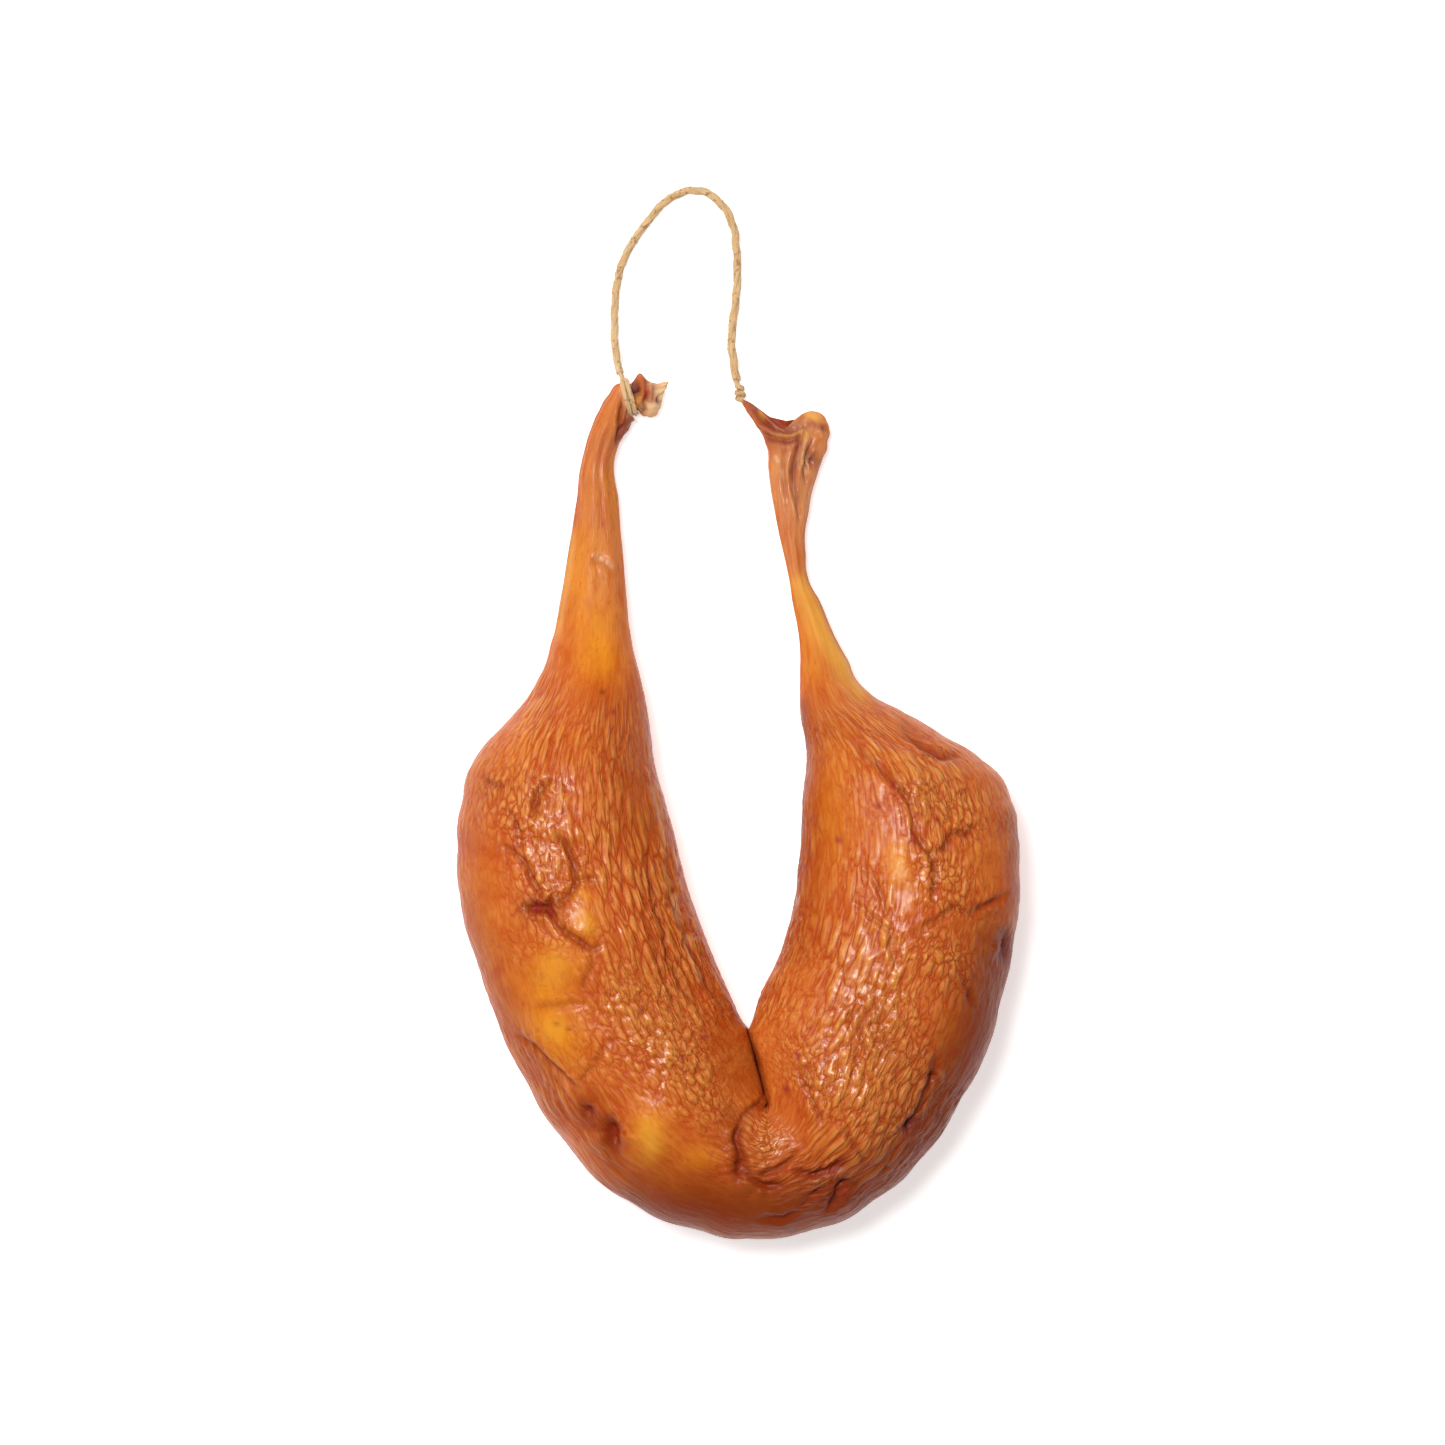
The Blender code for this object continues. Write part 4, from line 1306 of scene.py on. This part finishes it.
def cordTree():
    sorts = {label: "Int" if isinstance(value, int) else "Float" for label, value in twine.items()}
    tree, given = newGrowth("twistedTwine", sorts)
    path = addGeo(tree, "MeshToCurve", {"Mesh": given["Geometry"]}).outputs[0]
    strands = twistedStrands(tree, path, given)
    joined = addGeo(tree, "JoinGeometry")
    tree.links.new(looseFibres(tree, path, given), joined.inputs[0])
    tree.links.new(strands, joined.inputs[0])
    real = addGeo(tree, "RealizeInstances", {"Geometry": joined.outputs[0]})
    where = addShade(tree, "SeparateXYZ", {0: addGeo(tree, "InputPosition").outputs[0]})
    above = addMath(tree, "MAXIMUM", where.outputs[2], strandShape["lowest"])
    lifted = addShade(tree, "CombineXYZ", {0: where.outputs[0], 1: where.outputs[1], 2: above})
    resting = addGeo(tree, "SetPosition", {
        "Geometry": real.outputs[0], "Position": lifted.outputs[0],
    })
    smooth = addGeo(tree, "SetShadeSmooth", {"Geometry": resting.outputs[0]})
    return painted(tree, smooth.outputs[0], given)


def cordPiece(name, tree, path, look, finish):
    guide = bpy.data.meshes.new(name + "Guide")
    guide.from_pydata([tuple(p) for p in path], [(k, k + 1) for k in range(len(path) - 1)], [])
    data = grownMesh(name, guide, tree, {**look, "Finish": finish})
    say("%s of %d faces" % (name, len(data.polygons)))
    return placeMesh(name, data, finish)


leftTie = {
    "lead": (-23.4, 85.9, 5.6),
    "outer": (-22.6, 84.4, 0.0),
    "inner": (-21.4, 79.0, 0.0),
    "thickness": 4.9,
    "height": 5.4,
    "clear": 0.75,
    "turns": 1.55,
    "pitch": 1.0,
    "points": 90,
    "skipped": 3,  # points of the first turn that the lead takes the place of
    "tail": [(-21.6, 78.2, 4.0), (-21.2, 77.2, 2.8)],
    "pathPoints": 160,
}


def leftTiePath():
    look = leftTie
    outer, inner = np.array(look["outer"]), np.array(look["inner"])
    width = np.linalg.norm(outer - inner)
    across = (outer - inner) / width
    along = np.cross(across, upright)
    middle = (outer + inner) / 2.0 + upright * look["height"]
    wide = width / 2.0 + look["clear"]
    high = look["thickness"] / 2.0 + look["clear"]
    turned = np.linspace(0.0, look["turns"] * fullTurn, look["points"])[look["skipped"]:]
    slip = (turned / fullTurn - look["turns"] / 2.0) * look["pitch"]
    rounds = [
        middle + across * wide * math.cos(t) + upright * high * math.sin(t) + along * s
        for t, s in zip(turned, slip)
    ]
    points = [np.array(twineRoute[0]) / mm, look["lead"], *rounds, *look["tail"]]
    return smoothPath(points, look["pathPoints"]) * mm


rightTie = {
    "start": (0.0, 84.0, 2.0),
    "end": (0.6, 80.9, 2.4),
    "radius": 0.62,
    "turns": 2.6,
    "reach": (0.12, 0.9, 80),  # from and to which share of the way, and in how many points
    "pathPoints": 150,
}


def rightTiePath():
    look = rightTie
    start, end = np.array(look["start"]), np.array(look["end"])
    along = (end - start) / np.linalg.norm(end - start)
    side = np.cross(along, upright)
    side = side / np.linalg.norm(side)
    other = np.cross(side, along)
    rounds = []
    for part in np.linspace(*look["reach"]):
        angle = fullTurn * look["turns"] * part
        out = side * math.cos(angle) + other * math.sin(angle)
        rounds.append(start + (end - start) * part + look["radius"] * out)
    return smoothPath([np.array(twineRoute[-1]) / mm, *rounds], look["pathPoints"]) * mm


# Floor, light and camera

studio = {
    "floorColour": (0.9, 0.9, 0.9),
    "floorGlow": 0.6,
    "floorHalf": 3.0,
    "floorDrop": 0.00002,
    "worldLight": 0.14,
    "lamps": {"key": ((-0.26, 0.24, 1.4), 0.42, 11.6), "fill": ((-0.42, 0.42, 1.25), 1.1, 11.4)},
    "lampTarget": (0.0, 0.0, 0.015),
    "frameWidth": 0.289,
    "frameMiddle": (-0.0032, 0.0165),
    "cameraHeight": 4.0,
    "topHeight": 0.0175,
    "sensor": 36.0,
    "farthest": 20.0,
}


def areaLight(name, place, size, power):
    light = bpy.data.lights.new(name, "AREA")
    light.shape = "DISK"
    light.size = size
    light.energy = power
    lamp = addObject(name, light)
    lamp.location = place
    lamp.rotation_euler = (Vector(studio["lampTarget"]) - Vector(place)).to_track_quat("-Z", "Y").to_euler()


def makeStudio():
    floorMesh = bpy.data.meshes.new("floor")
    half = studio["floorHalf"]
    corners = [(-half, -half, 0.0), (half, -half, 0.0), (half, half, 0.0), (-half, half, 0.0)]
    floorMesh.from_pydata(corners, [], [(0, 1, 2, 3)])
    pale, tree, shader = newFinish("paleFloor")
    setInputs(tree, shader, {
        "Base Color": rgba(studio["floorColour"]), "Roughness": 0.9, "Specular IOR Level": 0.1,
        "Emission Color": white, "Emission Strength": studio["floorGlow"],
    })
    floor = placeMesh("floor", floorMesh, pale)
    floor.location.z = -studio["floorDrop"]
    world = bpy.data.worlds.new("studio")
    bpy.context.scene.world = world
    bpy.context.scene.view_settings.view_transform = "Standard"
    world.use_nodes = True
    sky = world.node_tree.nodes["Background"]
    setInputs(world.node_tree, sky, {"Color": white, "Strength": studio["worldLight"]})
    for name, lamp in studio["lamps"].items():
        areaLight(name, *lamp)


def makeCamera():
    lens = bpy.data.cameras.new("camera")
    camera = addObject("camera", lens)
    lens.sensor_width = studio["sensor"]
    lens.lens = studio["sensor"] * studio["cameraHeight"] / studio["frameWidth"]
    lens.clip_end = studio["farthest"]
    camera.location = (*studio["frameMiddle"], studio["topHeight"] + studio["cameraHeight"])
    bpy.context.scene.camera = camera


makeStudio()
makeCamera()
say("floor, lights and camera are ready")

mottle = mottleGroup()
smokedCasing = casingMaterial(mottle)
smokedTwine = twineMaterial(mottle, grainGroup())
say("materials are ready")

twineTree = cordTree()
middleLine = smoothPath(twineRoute, 240)
loop = cordPiece("twineLoop", twineTree, middleLine, twine, smokedTwine)
leftTurns = cordPiece("twineTieLeft", twineTree, leftTiePath(), tieTwine, smokedTwine)
rightKnot = cordPiece("twineTieRight", twineTree, rightTiePath(), knotTwine, smokedTwine)
casing = makeCasing(smokedCasing)

for piece, node, slot in (
    (casing, "sausage", "casing"), (loop, "twine_loop", "twine"),
    (leftTurns, "twine_tie_left", "twine"), (rightKnot, "twine_tie_right", "twine"),
):
    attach(piece, "root")
    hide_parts(node)

loopLength = float(pointDistances(middleLine)[-1])
say("twine loop of %.0f mm" % (loopLength / mm))
